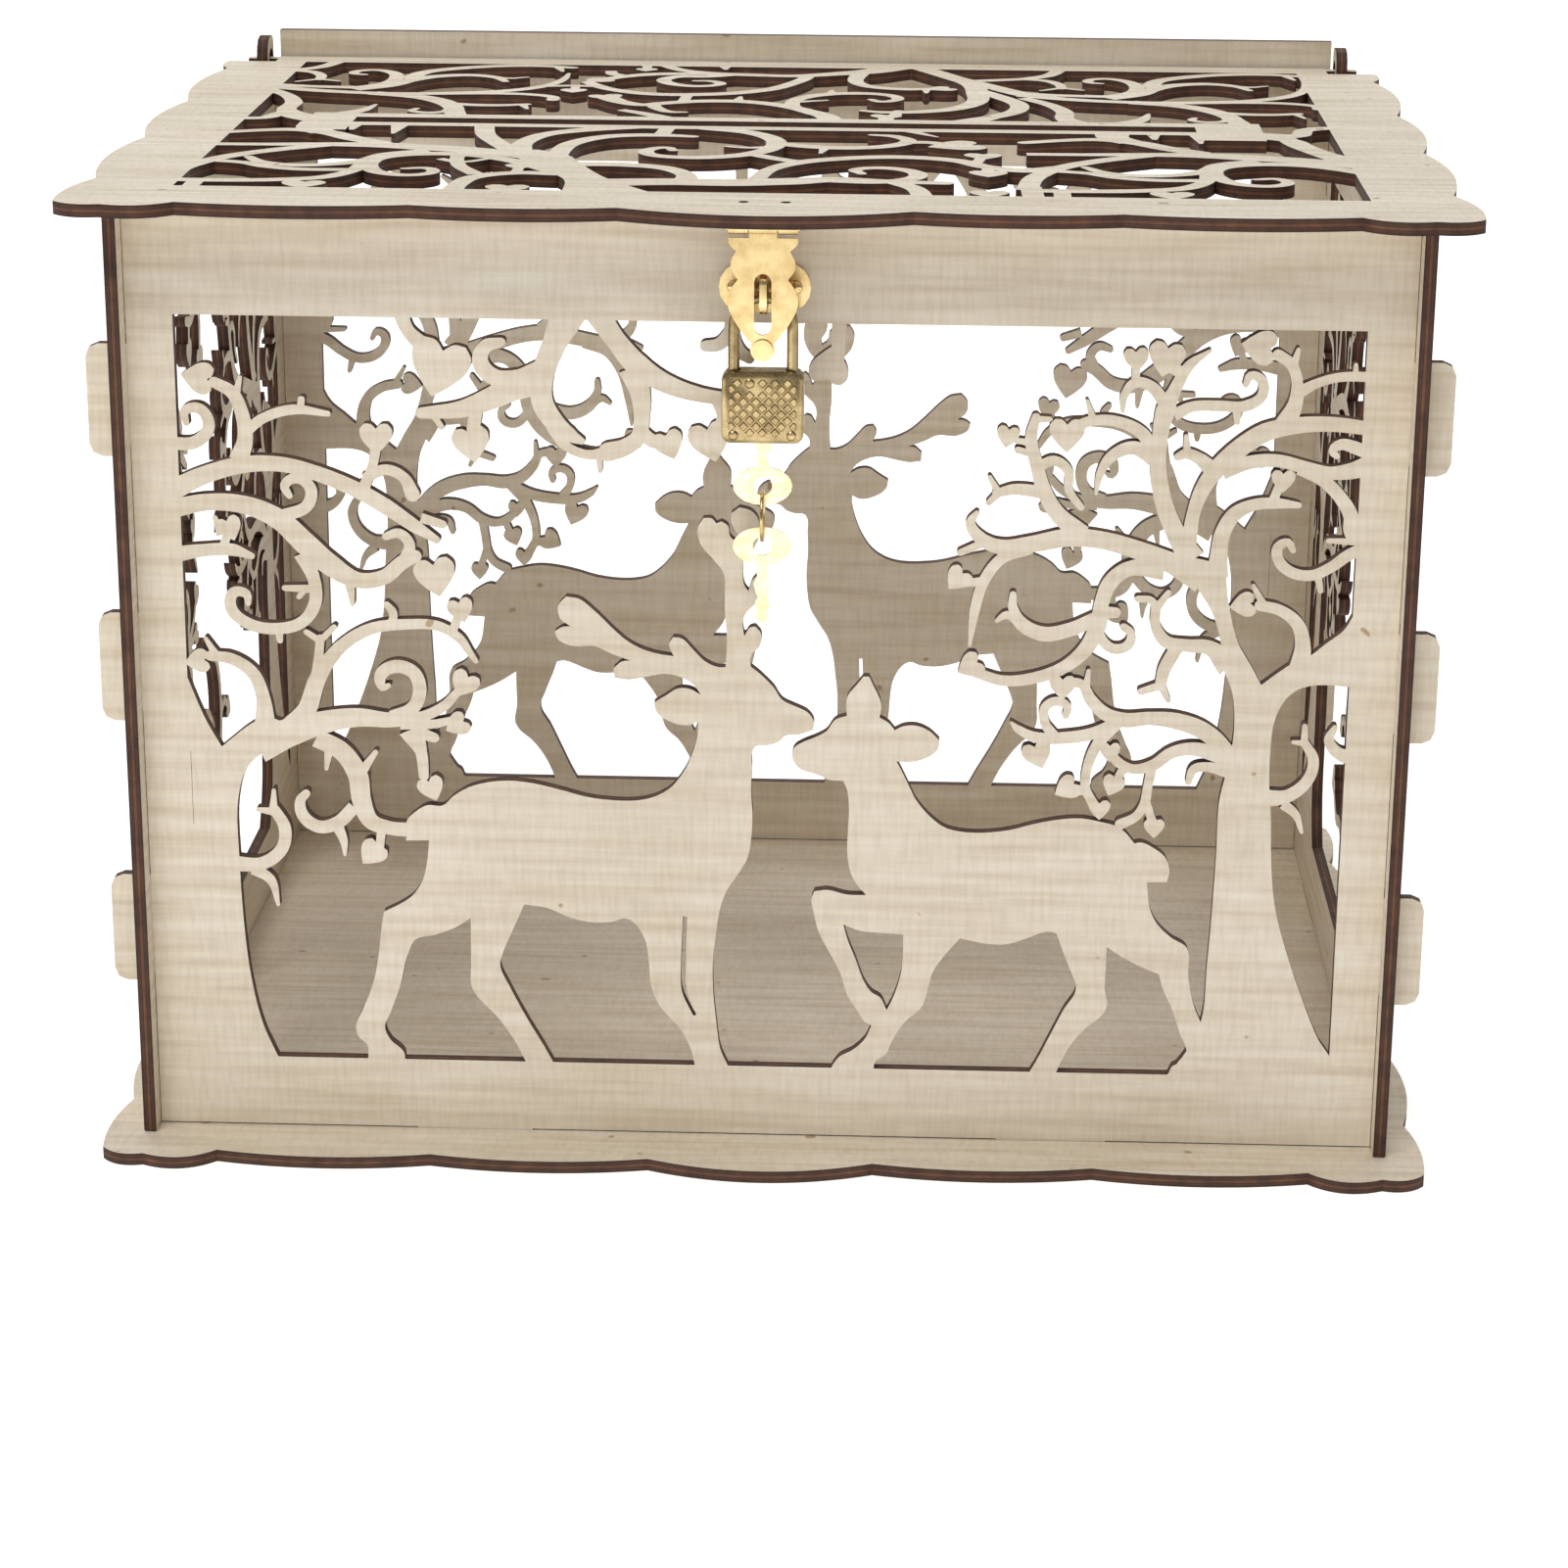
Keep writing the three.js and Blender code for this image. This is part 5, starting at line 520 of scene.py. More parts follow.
def lid_middle_rear():
    """The scrolls in the middle of the lid, behind the card slot."""
    return [
        twig([[-56, 183, 3.5], [-52, 175, 4], [-48, 169.5, 4], [-39, 163, 4.6], [-27, 162, 5], [-15, 166, 5],
          [-6, 174, 4.6], [-1, 184, 4], [2, 193, 4], [3, 200, 4]]),
        twig([[-54, 184, 5], [-48, 192, 4], [-40, 198, 5], [-30, 200, 4.6], [-15, 199.5, 4], [0, 198.5, 5],
          [10, 203, 6], [20, 209, 8], [27, 217, 9]]),
        heart(-53, 186, 8, -40),
        twig([[-18, 199, 4], [-24, 195.5, 4], [-32, 194.5, 4], [-35.5, 188, 4], [-32, 180, 4],
          [-25, 177.5, 3.5], [-20, 182, 3.2], [-23, 187, 3], [-27, 187, 2.2]]),
        twig([[-38, 217, 3.4], [-31, 206, 4], [-22, 201, 4.6], [-10, 199, 5]]),
        twig([[-20.5, 216, 4], [-20, 209, 1]]),
        twig([[-42, 216, 3], [-41.5, 209, 2.4]]),
        heart(-41.5, 207, 6, 0),
        twig([[-51, 203.5, 3], [-50, 198, 3.6], [-46.5, 194, 4]]),
        twig([[-48, 155, 6], [-44, 148, 5], [-38, 143.5, 4.4], [-33, 146.5, 4.6], [-23, 151, 5],
          [-12, 151, 5], [-2, 145, 5], [5, 136, 5], [10, 127, 6], [11, 120, 6]]),
        twig([[-36, 145, 4], [-33.5, 137, 3.4], [-30, 132, 3], [-26.5, 132, 2]]),
        heart(-48.5, 157, 9, 20),
        twig([[-14, 151, 3.6], [-13.5, 159.5, 1]]),
        twig([[-28, 150, 3], [-27.5, 162, 3]]),
        twig([[-43, 134.5, 3], [-36, 128, 4], [-30, 121, 5]]),
        twig([[-67, 174, 3], [-59, 175.4, 3], [-51.5, 175, 3.4]]),
        twig([[-58, 175.5, 2.4], [-58, 168.5, 2.4]]),
        heart(-58, 167, 7, 0),
        twig([[33, 217, 6], [40, 203, 6], [47, 187, 6], [48.5, 170, 6], [48, 155, 5.6], [43, 144, 5],
          [34, 137.5, 4.6], [24, 136, 3.6], [19, 138, 2.4]]),
        twig([[44, 197, 4], [50, 187, 5], [57, 175, 6], [62, 168, 6], [70, 163, 5]]),
        twig([[45, 192, 4], [54, 195, 4], [62, 198, 4]]),
        twig([[49, 176, 4], [55, 163, 5], [59, 152, 5], [58, 140, 5], [52, 130, 5], [44, 120, 8]]),
        twig([[17, 206, 5], [16.5, 187, 4], [21, 179.5, 4], [30, 176.5, 4], [37, 178, 3]]),
        heart(39, 178, 8, -60),
        twig([[35, 177, 2.6], [35, 170, 1]]),
        twig([[7, 131, 4], [1, 143, 4], [1.5, 156, 4], [8, 165, 4.6], [17, 168, 4.6], [25.5, 165, 3.6],
          [27.5, 158, 3.2], [23.5, 154, 3], [20.6, 157.5, 2]]),
        twig([[10, 166, 3], [10, 173, 1]]),
        twig([[2, 152, 3], [9, 155, 1.6]]),
        twig([[25, 120, 4], [25, 129, 4]]),
        heart(25, 129, 8, 0),
        twig([[27, 130, 3], [28, 138, 3]]),
        twig([[117, 106, 8], [127, 106, 5], [130, 115, 4.6], [134, 118, 4.6], [139, 119, 5]]),
        twig([[117, 104, 6], [125, 98, 5], [128, 88, 5], [133, 76, 5], [139, 69, 5]]),
    ]


def lid_middle_front():
    """The tree and scrolls in the middle of the lid, in front of the card slot."""
    return [
        smooth([[-47, 11], [-48, 28], [-53, 40], [-61, 56], [-66, 68], [-58, 70], [-50, 62], [-47, 54],
          [-43, 42], [-38, 30], [-26, 11]], True),
        twig([[-46, 36, 6], [-51, 50, 5], [-52.5, 68, 5], [-50, 82, 5], [-42, 92, 5], [-30, 94.5, 4.6],
          [-22, 93, 3]]),
        twig([[-62, 66, 6], [-62.5, 80, 5], [-58, 94, 5], [-48, 102, 6], [-36, 107, 5]]),
        twig([[-20, 107, 6], [-8, 100, 5], [-1.5, 88, 5], [-3, 74, 5], [-11, 64.5, 5], [-22, 61.5, 4.6],
          [-30.5, 65, 4], [-31.5, 72, 3.6], [-27.5, 75.5, 3], [-25.5, 71.5, 2.2]]),
        twig([[-3, 78, 3], [-8, 77, 2.4], [-13, 78.4, 1.4]]),
        twig([[-30, 94, 4], [-29, 107, 4]]),
        twig([[-69, 34, 4], [-74, 45, 3.6], [-76, 56, 3.4], [-76, 63, 4]]),
        twig([[-80, 55, 2.6], [-74.5, 51, 2.6], [-68, 56.5, 1.6]]),
        twig([[-60, 36, 2.6], [-60, 44, 2.6]]),
        heart(-60, 46, 7, 0),
        twig([[-50, 36, 5], [-60, 36.5, 4.6], [-69, 30, 4.6], [-71.5, 20, 4.6], [-72, 10, 5]]),
        twig([[-48, 50, 6], [-36, 50, 5.6], [-26, 46, 5], [-20.5, 37, 4.6], [-20, 27, 6]]),
        twig([[-44, 24, 10], [-24, 27, 9], [-8, 27, 9], [5, 30, 9], [15, 33, 6], [28, 31, 5], [40, 30, 4]]),
        heart(-60, 16, 10, 0),
        twig([[-4, 28, 5], [-3, 36, 4], [-1, 46, 4], [5, 56, 5], [16, 63, 5], [30, 66, 5], [43, 61.5, 5],
          [50, 53, 5], [59, 49, 6], [66, 53, 5]]),
        twig([[10, 32, 5], [26, 31, 5], [33, 37, 4.6], [32.5, 45, 4.2], [25, 50, 4], [19, 47, 3.4],
          [20.5, 41.5, 2.4]]),
        twig([[-7, 68, 4], [-1, 62, 4], [5, 57, 4]]),
        twig([[-3, 86, 4], [4, 81, 4.6], [15, 78.5, 5], [26, 82, 4.6], [31, 90, 4], [27, 97.5, 3.6],
          [22, 99, 2.4]]),
        twig([[11, 79, 3], [10, 70, 1]]),
        twig([[29, 87, 4], [35, 88.5, 4], [40, 86, 4]]),
        heart(43, 84, 14, -70),
        twig([[47, 57, 3], [48.5, 66, 2.6]]),
        heart(49, 69, 9, 0),
        twig([[30, 107, 4], [38, 97, 1]]),
        twig([[28, 31, 5], [33, 22, 4.6], [35, 10, 5]]),
        twig([[50, 53, 3], [50, 45, 3]]),
        heart(50, 44, 9, 0),
        heart(50, 17, 9, 0),
        twig([[60, 10, 5], [59.5, 26, 5]]),
    ]


# ---------------------------------------------------------------- panels, drawn flat
def side_tab(span):
    """A side tab of the right-hand edge: it drops behind its slot and has round outer corners."""
    bottom, top = span
    root = BOX_WIDTH / 2 + SLACK
    corner = 3
    cut = 0.9
    return [
        [PANEL_HALF - 1, bottom + HOOK_DROP], [root, bottom + HOOK_DROP], [root, bottom],
        [TAB_REACH - corner, bottom], [TAB_REACH - cut, bottom + cut], [TAB_REACH, bottom + corner],
        [TAB_REACH, top - corner], [TAB_REACH - cut, top - cut], [TAB_REACH - corner, top],
        [PANEL_HALF - 1, top],
    ]


def foot_tab(span):
    return rectangle(span[0], 0, span[1], PANEL_BOTTOM + 1)


def scene_panel(outer_top, holes):
    tabs = [side_tab(span) for span in SIDE_TABS]
    board = [rectangle(-PANEL_HALF, PANEL_BOTTOM, PANEL_HALF, WALL_TOP)]
    board += outer_top + tabs + [mirrored_x(tab) for tab in tabs] + [foot_tab(span) for span in FOOT_TABS]
    return {
        "board": board,
        "window": rectangle(-WINDOW_HALF, GROUND_LINE, WINDOW_HALF, WINDOW_TOP),
        "field": rectangle(-WINDOW_HALF - LIP, GROUND_LINE - LIP, WINDOW_HALF + LIP, WINDOW_TOP + LIP),
        "picture": left_tree() + right_tree() + hanging_vines() + buck() + doe(),
        "slits": scene_slits(),
        "holes": holes,
    }


def front_panel():
    return scene_panel([], [disc(LOCK_X + x, STAPLE_Z, SCREW_HOLE) for x in STAPLE_SCREWS])


def back_panel():
    return scene_panel([rectangle(-146.4, WALL_TOP - 1, 145, BACK_TOP)], [])


def side_panel():
    """Drawn in [distance from the front edge, z]."""
    front, back, bottom = 14, 214, 22
    ear = [
        [215.6, WALL_TOP - 1], [215.6, 233.2], [216.3, 235.8], [218.1, 237.6], [220.6, 238.2],
        [223.8, 238.2], [225.2, 237.6], [225.8, 236.2], [225.8, WALL_TOP - 1],
    ]
    vines = [
        twig([[101, 207, 7], [99, 197, 4.6], [94, 190, 3.6], [86, 186, 3], [80, 187, 2.4]]),
        twig([[99, 198, 4], [106, 191, 3.6], [114, 189, 3], [119, 192, 2.4], [118, 197, 1.8]]),
        twig([[97, 192, 3.4], [98, 183, 2.8], [97, 176, 2.4]]),
        heart(97, 173, 9, 0),
        twig([[84, 186, 2.4], [83, 181, 2.2]]),
        heart(83, 178.5, 7, 10),
        twig([[100, 19, 9], [98.5, 34, 6], [101, 50, 5], [99, 66, 4.4], [94, 78, 3.6], [86, 83, 3],
          [80.5, 80, 2.6], [81, 74.5, 2.2], [85, 73.5, 1.6]]),
        twig([[100, 62, 4], [106, 72, 3.4], [107, 84, 3], [103, 93, 2.8], [97, 96, 2.4]]),
        heart(94, 97, 8, -60),
        twig([[99, 38, 4], [90, 44, 3.4], [80, 43, 3], [73, 48, 2.6]]),
        heart(71, 50, 8, -60),
        twig([[100.5, 46, 4], [110, 51, 3.4], [119, 50, 3], [127, 55, 2.6]]),
        heart(129, 57, 8, 60),
        twig([[106, 76, 3], [112, 79, 2.4], [116, 77, 2]]),
        heart(118, 75.5, 6, 60),
    ]
    feet = [foot_tab(span) for span in SIDE_FOOT_TABS]
    trees = moved(left_tree(), front + WINDOW_HALF, 0) + moved(right_tree(), back - WINDOW_HALF, 0)
    slots = [
        rectangle(y, low + HOOK_DROP - SLACK, y + SLOT_WIDE, high + HOOK_DROP + SLACK)
        for low, high in SIDE_TABS for y in (SLOT_BEFORE, BOX_DEPTH - SLOT_BEFORE - SLOT_WIDE)
    ]
    return {
        "board": [rectangle(0, PANEL_BOTTOM, BOX_DEPTH, WALL_TOP), ear] + feet,
        "window": rectangle(front, bottom, back, WINDOW_TOP),
        "field": rectangle(front - LIP, bottom - LIP, back + LIP, WINDOW_TOP + LIP),
        "picture": trees + vines,
        "slits": [],
        "holes": slots + [disc(*HINGE_HOLE)],
    }


def scallops(cusps):
    """Arcs that bulge outwards from cusp to cusp, each [x, y, bulge to the next cusp]."""
    outline = []
    for i, (x, y, bulge) in enumerate(cusps):
        next_x, next_y, _ = cusps[(i + 1) % len(cusps)]
        dx, dy = unit((x, y), (next_x, next_y))
        steps = 24 if bulge > 0 else 1
        for k in range(steps):
            t = k / steps
            out = 4 * bulge * t * (1 - t)
            outline.append([x + (next_x - x) * t + dy * out, y + (next_y - y) * t - dx * out])
    return outline


def base_plate():
    """A scalloped plate with slots for the panels' feet, the same at front and back."""
    quarter = [
        [26.9, -10, 3], [79.2, -10, 3], [130.6, -10, 3.4], [148, -13, 2], [158.2, -9.5, 1.6],
        [156.4, 20.3, 3.2], [156.4, 69, 3.2], [156.4, BOX_DEPTH - 69, 3.2],
    ]
    rear = [
        [156.4, BOX_DEPTH - 20.3, 1.6], [158.2, BOX_DEPTH + 9.5, 2], [148, BOX_DEPTH + 13, 3.4],
        [130.6, BOX_DEPTH + 10, 3], [79.2, BOX_DEPTH + 10, 3], [26.9, BOX_DEPTH + 10, 6],
    ]
    right = quarter + rear
    left_bulges = [bulge for _, _, bulge in right[:-1]][::-1] + [6]
    left = [[-x, y, b] for (x, y, _), b in zip(right[::-1], left_bulges)]
    holes = []
    for low, high in FOOT_TABS:
        holes.append(rectangle(low - SLACK, SLOT_BEFORE, high + SLACK, SLOT_BEFORE + SLOT_WIDE))
        behind = BOX_DEPTH - SLOT_BEFORE
        holes.append(mirrored_x(rectangle(low - SLACK, behind - SLOT_WIDE, high + SLACK, behind)))
    for low, high in SIDE_FOOT_TABS:
        for side in (-1, 1):
            middle = side * (BOX_WIDTH - PLY) / 2
            holes.append(rectangle(middle - SLOT_WIDE / 2, low - SLACK, middle + SLOT_WIDE / 2, high + SLACK))
    return {"board": [scallops(right + left)], "holes": holes}


def lid_plate():
    """A scalloped plate with scrollwork, the card slot and its own two hinge pins."""
    right = [
        [33, -8, 3], [79.5, -8, 3], [132, -8, 3], [148, -12, 2], [159, -8.5, 2], [155.5, 22, 3.5],
        [155.5, 82, 3.5], [155.5, 141, 3.5], [155.5, 200, 1.4], [157.5, 214.2, 0], [144.6, 214.2, 0],
        [144.6, 219.7, 0], [153, 219.7, 0], [153, 223.5, 0], [144.6, 223.5, 0], [144.6, 224.9, 0],
    ]
    bulges = [bulge for _, _, bulge in right[:-1]][::-1] + [8]
    left = [[-x, y, b] for (x, y, _), b in zip(right[::-1], bulges)]
    bars = [
        rectangle(-120, 104.5, 119, 109.5), rectangle(-120, 117.5, 119, 123.5),
        rectangle(-120, 97, -108.5, 124), rectangle(102.5, 97, 119, 124),
    ]
    front, back = 13.5, 214  # of the pierced field
    repeat = 198.5  # the scrolls left of the middle come again on the right
    scrolls = lid_scrolls() + moved(lid_scrolls(), repeat, 0)
    screws = [disc(LOCK_X + x, LEAF_SCREW_Y, SCREW_HOLE) for x in LEAF_SCREWS]
    return {
        "board": [scallops(right + left)],
        "window": rectangle(-WINDOW_HALF, front, WINDOW_HALF, back),
        "field": rectangle(-WINDOW_HALF - LIP, front - LIP, WINDOW_HALF + LIP, back + LIP),
        "picture": scrolls + lid_middle_rear() + lid_middle_front() + bars,
        "slits": [],
        "holes": [rectangle(-108.5, 109.5, 102.5, 117.5)] + screws,
    }


# ---------------------------------------------------------------- plates
def wound(points, loops):
    """How often the loops turn round each point, added up."""
    turns = np.zeros(len(points))
    for loop in loops:
        line = np.array(loop)
        low, high = line.min(axis=0), line.max(axis=0)
        near = np.nonzero(((points > low) & (points < high)).all(axis=1))[0]
        if len(near) == 0:
            continue
        a, b = line, np.roll(line, -1, axis=0)
        for part in np.array_split(near, 1 + len(near) * len(line) // 4_000_000):
            px, py = points[part, 0:1], points[part, 1:2]
            side = (b[:, 0] - a[:, 0]) * (py - a[:, 1]) - (px - a[:, 0]) * (b[:, 1] - a[:, 1])
            up = (a[:, 1] <= py) & (b[:, 1] > py) & (side > 0)
            down = (a[:, 1] > py) & (b[:, 1] <= py) & (side < 0)
            turns[part] += up.sum(axis=1) - down.sum(axis=1)
    return turns


def covered(points, outlines):
    inside = np.zeros(len(points), bool)
    for outline in outlines:
        inside |= wound(points, [outline]) != 0
    return inside


def triangulated(loops):
    """Points and triangles of everything inside the loops' convex hull, every edge kept."""
    points, edges = [], []
    for loop in loops:
        first = len(points)
        points += [Vector((p[0], p[1])) for p in loop]
        edges += [(first + i, first + (i + 1) % len(loop)) for i in range(len(loop))]
    found, _, faces, _, _, _ = delaunay_2d_cdt(points, edges, [], 0, 1e-5)
    place = np.array([(v.x, v.y) for v in found])
    corners = np.array([face for face in faces if len(face) == 3])
    return place, corners


def rims(corners):
    """The directed outer edges of the triangles."""
    edges = {(int(t[i]), int(t[(i + 1) % 3])) for t in corners for i in range(3)}
    return [edge for edge in sorted(edges) if (edge[1], edge[0]) not in edges]


def closed_loops(place, edges):
    after = {}
    for start, end in edges:
        after.setdefault(start, []).append(end)
    loops = []
    while after:
        start = next(iter(after))
        loop, at = [], start
        while at in after:
            loop.append(place[at])
            ends = after[at]
            step = ends.pop()
            if not ends:
                del after[at]
            at = step
        loops.append(loop)
    return loops


def thinned(run, tolerance):
    """Drops the points of an open run that lie within the tolerance of its chords."""
    keep = {0, len(run) - 1}
    todo = [(0, len(run) - 1)]
    while todo:
        low, high = todo.pop()
        if high - low < 2:
            continue
        a, b = run[low], run[high]
        ux, uy = unit(a, b)
        rel = run[low + 1:high] - a
        along = np.clip(rel[:, 0] * ux + rel[:, 1] * uy, 0, math.hypot(b[0] - a[0], b[1] - a[1]))
        off = np.hypot(rel[:, 0] - along * ux, rel[:, 1] - along * uy)
        worst = int(off.argmax())
        if off[worst] > tolerance:
            middle = low + 1 + worst
            keep.add(middle)
            todo += [(low, middle), (middle, high)]
    return run[sorted(keep)]


def thinned_loop(loop):
    ring = np.array(loop)
    far = int(np.hypot(*(ring - ring[0]).T).argmax())
    there = thinned(ring[:far + 1], TOLERANCE)
    back = thinned(np.vstack([ring[far:], ring[:1]]), TOLERANCE)
    return np.vstack([there[:-1], back[:-1]])


def area_of(loop):
    x, y = np.array(loop).T
    return float((x * np.roll(y, -1) - np.roll(x, -1) * y).sum() / 2)


def plate_shape(drawing):
    """Points and triangles of the plate: the board less its window, plus the picture, less the holes."""
    picture = drawing.get("picture", [])
    slits = drawing.get("slits", [])
    frames = [drawing[key] for key in ("window", "field") if key in drawing]
    place, corners = triangulated(drawing["board"] + frames + picture + slits + drawing["holes"])
    centres = place[corners].mean(axis=1)
    solid = covered(centres, drawing["board"])
    if picture:
        solid &= ~covered(centres, [drawing["window"]])
        drawn = covered(centres, picture) & ~covered(centres, slits)
        solid |= drawn & covered(centres, [drawing["field"]])
    solid &= ~covered(centres, drawing["holes"])
    loops = [thinned_loop(loop) for loop in closed_loops(place, rims(corners[solid]))]
    smallest = 0.3  # square millimetres: slivers are dropped
    loops = [loop for loop in loops if len(loop) > 2 and abs(area_of(loop)) > smallest]
    place, corners = triangulated(loops)
    inside = wound(place[corners].mean(axis=1), loops) > 0
    return place, corners[inside]


def facing_front(front):
    return lambda u, v, depth: (u, front + PLY - depth, v)


def facing_back(back):
    return lambda u, v, depth: (-u, back - PLY + depth, v)


def facing_side(outer):
    return lambda u, v, depth: (outer + depth, FRONT_EDGE + u, v)


def lying(bottom):
    return lambda u, v, depth: (u, FRONT_EDGE + v, bottom + depth)


def plate(name, drawing, to_row, body, materials):
    """A plywood plate: two veneered faces and a burnt edge all round every cut."""
    place, corners = plate_shape(drawing)
    count = len(place)
    points = [to_row(u, v, depth) for depth in (0.0, PLY) for u, v in place]
    points = [[c / 1000 for c in point] for point in points]
    top = [[int(i) + count for i in t] for t in corners]
    bottom = [[int(i) for i in t[::-1]] for t in corners]
    walls = [[a, b, b + count, a + count] for a, b in rims(corners)]
    mesh = bpy.data.meshes.new(name)
    mesh.from_pydata(points, [], top + bottom + walls)
    for finish in materials:
        mesh.materials.append(finish)
    burnt = [0] * (2 * len(corners)) + [1] * len(walls)
    mesh.polygons.foreach_set("material_index", burnt)
    mesh.validate()
    piece = bpy.data.objects.new(name, mesh)
    bpy.context.collection.objects.link(piece)
    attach(piece, body)
    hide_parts(name.replace("_cut", ""))


# ---------------------------------------------------------------- materials
def new_material(name):
    finish = bpy.data.materials.new(name)
    finish.use_nodes = True
    nodes = finish.node_tree.nodes
    return finish, nodes, finish.node_tree.links, nodes["Principled BSDF"]


def noise(nodes, links, source, scale, detail, stretch=(1, 1, 1)):
    """A noise texture, its object coordinates stretched by the three factors."""
    mapping = nodes.new("ShaderNodeMapping")
    mapping.inputs["Scale"].default_value = stretch
    texture = nodes.new("ShaderNodeTexNoise")
    texture.inputs["Scale"].default_value = scale
    texture.inputs["Detail"].default_value = detail
    links.new(source.outputs["Object"], mapping.inputs["Vector"])
    links.new(mapping.outputs["Vector"], texture.inputs["Vector"])
    return texture


def ramp(nodes, links, value, stops):
    """A colour ramp of (position, colour) stops over a value."""
    node = nodes.new("ShaderNodeValToRGB")
    elements = node.color_ramp.elements
    while len(elements) < len(stops):
        elements.new(0.5)
    for element, (position, color) in zip(elements, stops):
        element.position = position
        element.color = (*color, 1)
    links.new(value, node.inputs["Fac"])
    return node


def mixed(nodes, links, kind, factor, a, b):
    node = nodes.new("ShaderNodeMix")
    node.data_type = "RGBA"
    node.blend_type = kind
    node.inputs["Factor"].default_value = factor
    links.new(a, node.inputs[6])
    links.new(b, node.inputs[7])
    return node.outputs[2]


def bumped(nodes, links, shader, height, strength, distance):
    bump = nodes.new("ShaderNodeBump")
    bump.inputs["Strength"].default_value = strength
    bump.inputs["Distance"].default_value = distance
    links.new(height, bump.inputs["Height"])
    links.new(bump.outputs["Normal"], shader.inputs["Normal"])


def veneer(name, along, seed):
    """Pale basswood veneer: streaks along the grain, fine rays across it and a few dark flecks."""
    finish, nodes, links, shader = new_material(name)
    source = nodes.new("ShaderNodeTexCoord")
    across = {"x": (0.06, 1, 1), "y": (1, 0.06, 1)}[along]
    rays = {"x": (1, 0.25, 0.12), "y": (0.12, 1, 1)}[along]
    cloud = noise(nodes, links, source, 9 + seed, 3)
    streak = noise(nodes, links, source, 420 + seed, 5, across)
    ray = noise(nodes, links, source, 900 + seed, 2, rays)
    fleck = noise(nodes, links, source, 170 + seed, 1)
    tone = ramp(nodes, links, streak.outputs["Fac"],
                [(0.28, (0.64, 0.54, 0.41)), (0.5, (0.73, 0.64, 0.515)), (0.72, (0.79, 0.72, 0.605))])
    shade = ramp(nodes, links, cloud.outputs["Fac"], [(0.3, (0.90, 0.89, 0.85)), (0.7, (1, 1, 1))])
    fine = ramp(nodes, links, ray.outputs["Fac"], [(0.3, (0.90, 0.89, 0.86)), (0.6, (1, 1, 1))])
    specks = ramp(nodes, links, fleck.outputs["Fac"], [(0.20, (0.50, 0.36, 0.22)), (0.235, (1, 1, 1))])
    color = mixed(nodes, links, "MULTIPLY", 1, tone.outputs["Color"], shade.outputs["Color"])
    color = mixed(nodes, links, "MULTIPLY", 0.8, color, fine.outputs["Color"])
    color = mixed(nodes, links, "MULTIPLY", 0.8, color, specks.outputs["Color"])
    links.new(color, shader.inputs["Base Color"])
    rough = ramp(nodes, links, streak.outputs["Fac"], [(0.3, (0.66, 0.66, 0.66)), (0.7, (0.54, 0.54, 0.54))])
    links.new(rough.outputs["Color"], shader.inputs["Roughness"])
    bumped(nodes, links, shader, streak.outputs["Fac"], 0.25, 0.0002)
    return finish


def burnt_edge(name, axis):
    """The laser's cut through three plies: charred at the faces, red-brown in the middle ply."""
    finish, nodes, links, shader = new_material(name)
    source = nodes.new("ShaderNodeTexCoord")
    parts = nodes.new("ShaderNodeSeparateXYZ")
    links.new(source.outputs["Generated"], parts.inputs["Vector"])
    layers = ramp(nodes, links, parts.outputs[axis], [
        (0.0, (0.030, 0.012, 0.006)), (0.30, (0.085, 0.034, 0.016)), (0.36, (0.022, 0.009, 0.005)),
        (0.42, (0.150, 0.062, 0.028)), (0.60, (0.120, 0.050, 0.024)), (0.66, (0.022, 0.009, 0.005)),
        (0.72, (0.085, 0.034, 0.016)), (1.0, (0.030, 0.012, 0.006)),
    ])
    soot = noise(nodes, links, source, 260, 4)
    dark = ramp(nodes, links, soot.outputs["Fac"], [(0.3, (0.55, 0.5, 0.5)), (0.75, (1.25, 1.2, 1.15))])
    links.new(mixed(nodes, links, "MULTIPLY", 1, layers.outputs["Color"], dark.outputs["Color"]),
              shader.inputs["Base Color"])
    shader.inputs["Roughness"].default_value = 0.75
    bumped(nodes, links, shader, soot.outputs["Fac"], 0.4, 0.0002)
    return finish


def metal(name, color, dark, roughness, brushed):
    """Plated metal: cloudy tone, fine scratches and a slightly uneven gloss."""
    finish, nodes, links, shader = new_material(name)
    source = nodes.new("ShaderNodeTexCoord")
    cloud = noise(nodes, links, source, 260, 3)
    scratch = noise(nodes, links, source, 3500, 3, brushed)
    tone = ramp(nodes, links, cloud.outputs["Fac"], [(0.3, dark), (0.62, color)])
    links.new(tone.outputs["Color"], shader.inputs["Base Color"])
    shader.inputs["Metallic"].default_value = 1.0
    gloss = ramp(nodes, links, scratch.outputs["Fac"],
                 [(0.3, (roughness - 0.08,) * 3), (0.7, (roughness + 0.12,) * 3)])
    links.new(gloss.outputs["Color"], shader.inputs["Roughness"])
    bumped(nodes, links, shader, scratch.outputs["Fac"], 0.12, 0.00005)
    return finish


EDGES = {axis: burnt_edge(f"burnt_edge_{axis.lower()}", axis) for axis in "XYZ"}
WALL_VENEER = [veneer("veneer_wall", "x", 0), EDGES["Y"]]
SIDE_VENEER = [veneer("veneer_side", "y", 3), EDGES["X"]]
FLAT_VENEER = [veneer("veneer_flat", "x", 5), EDGES["Z"]]

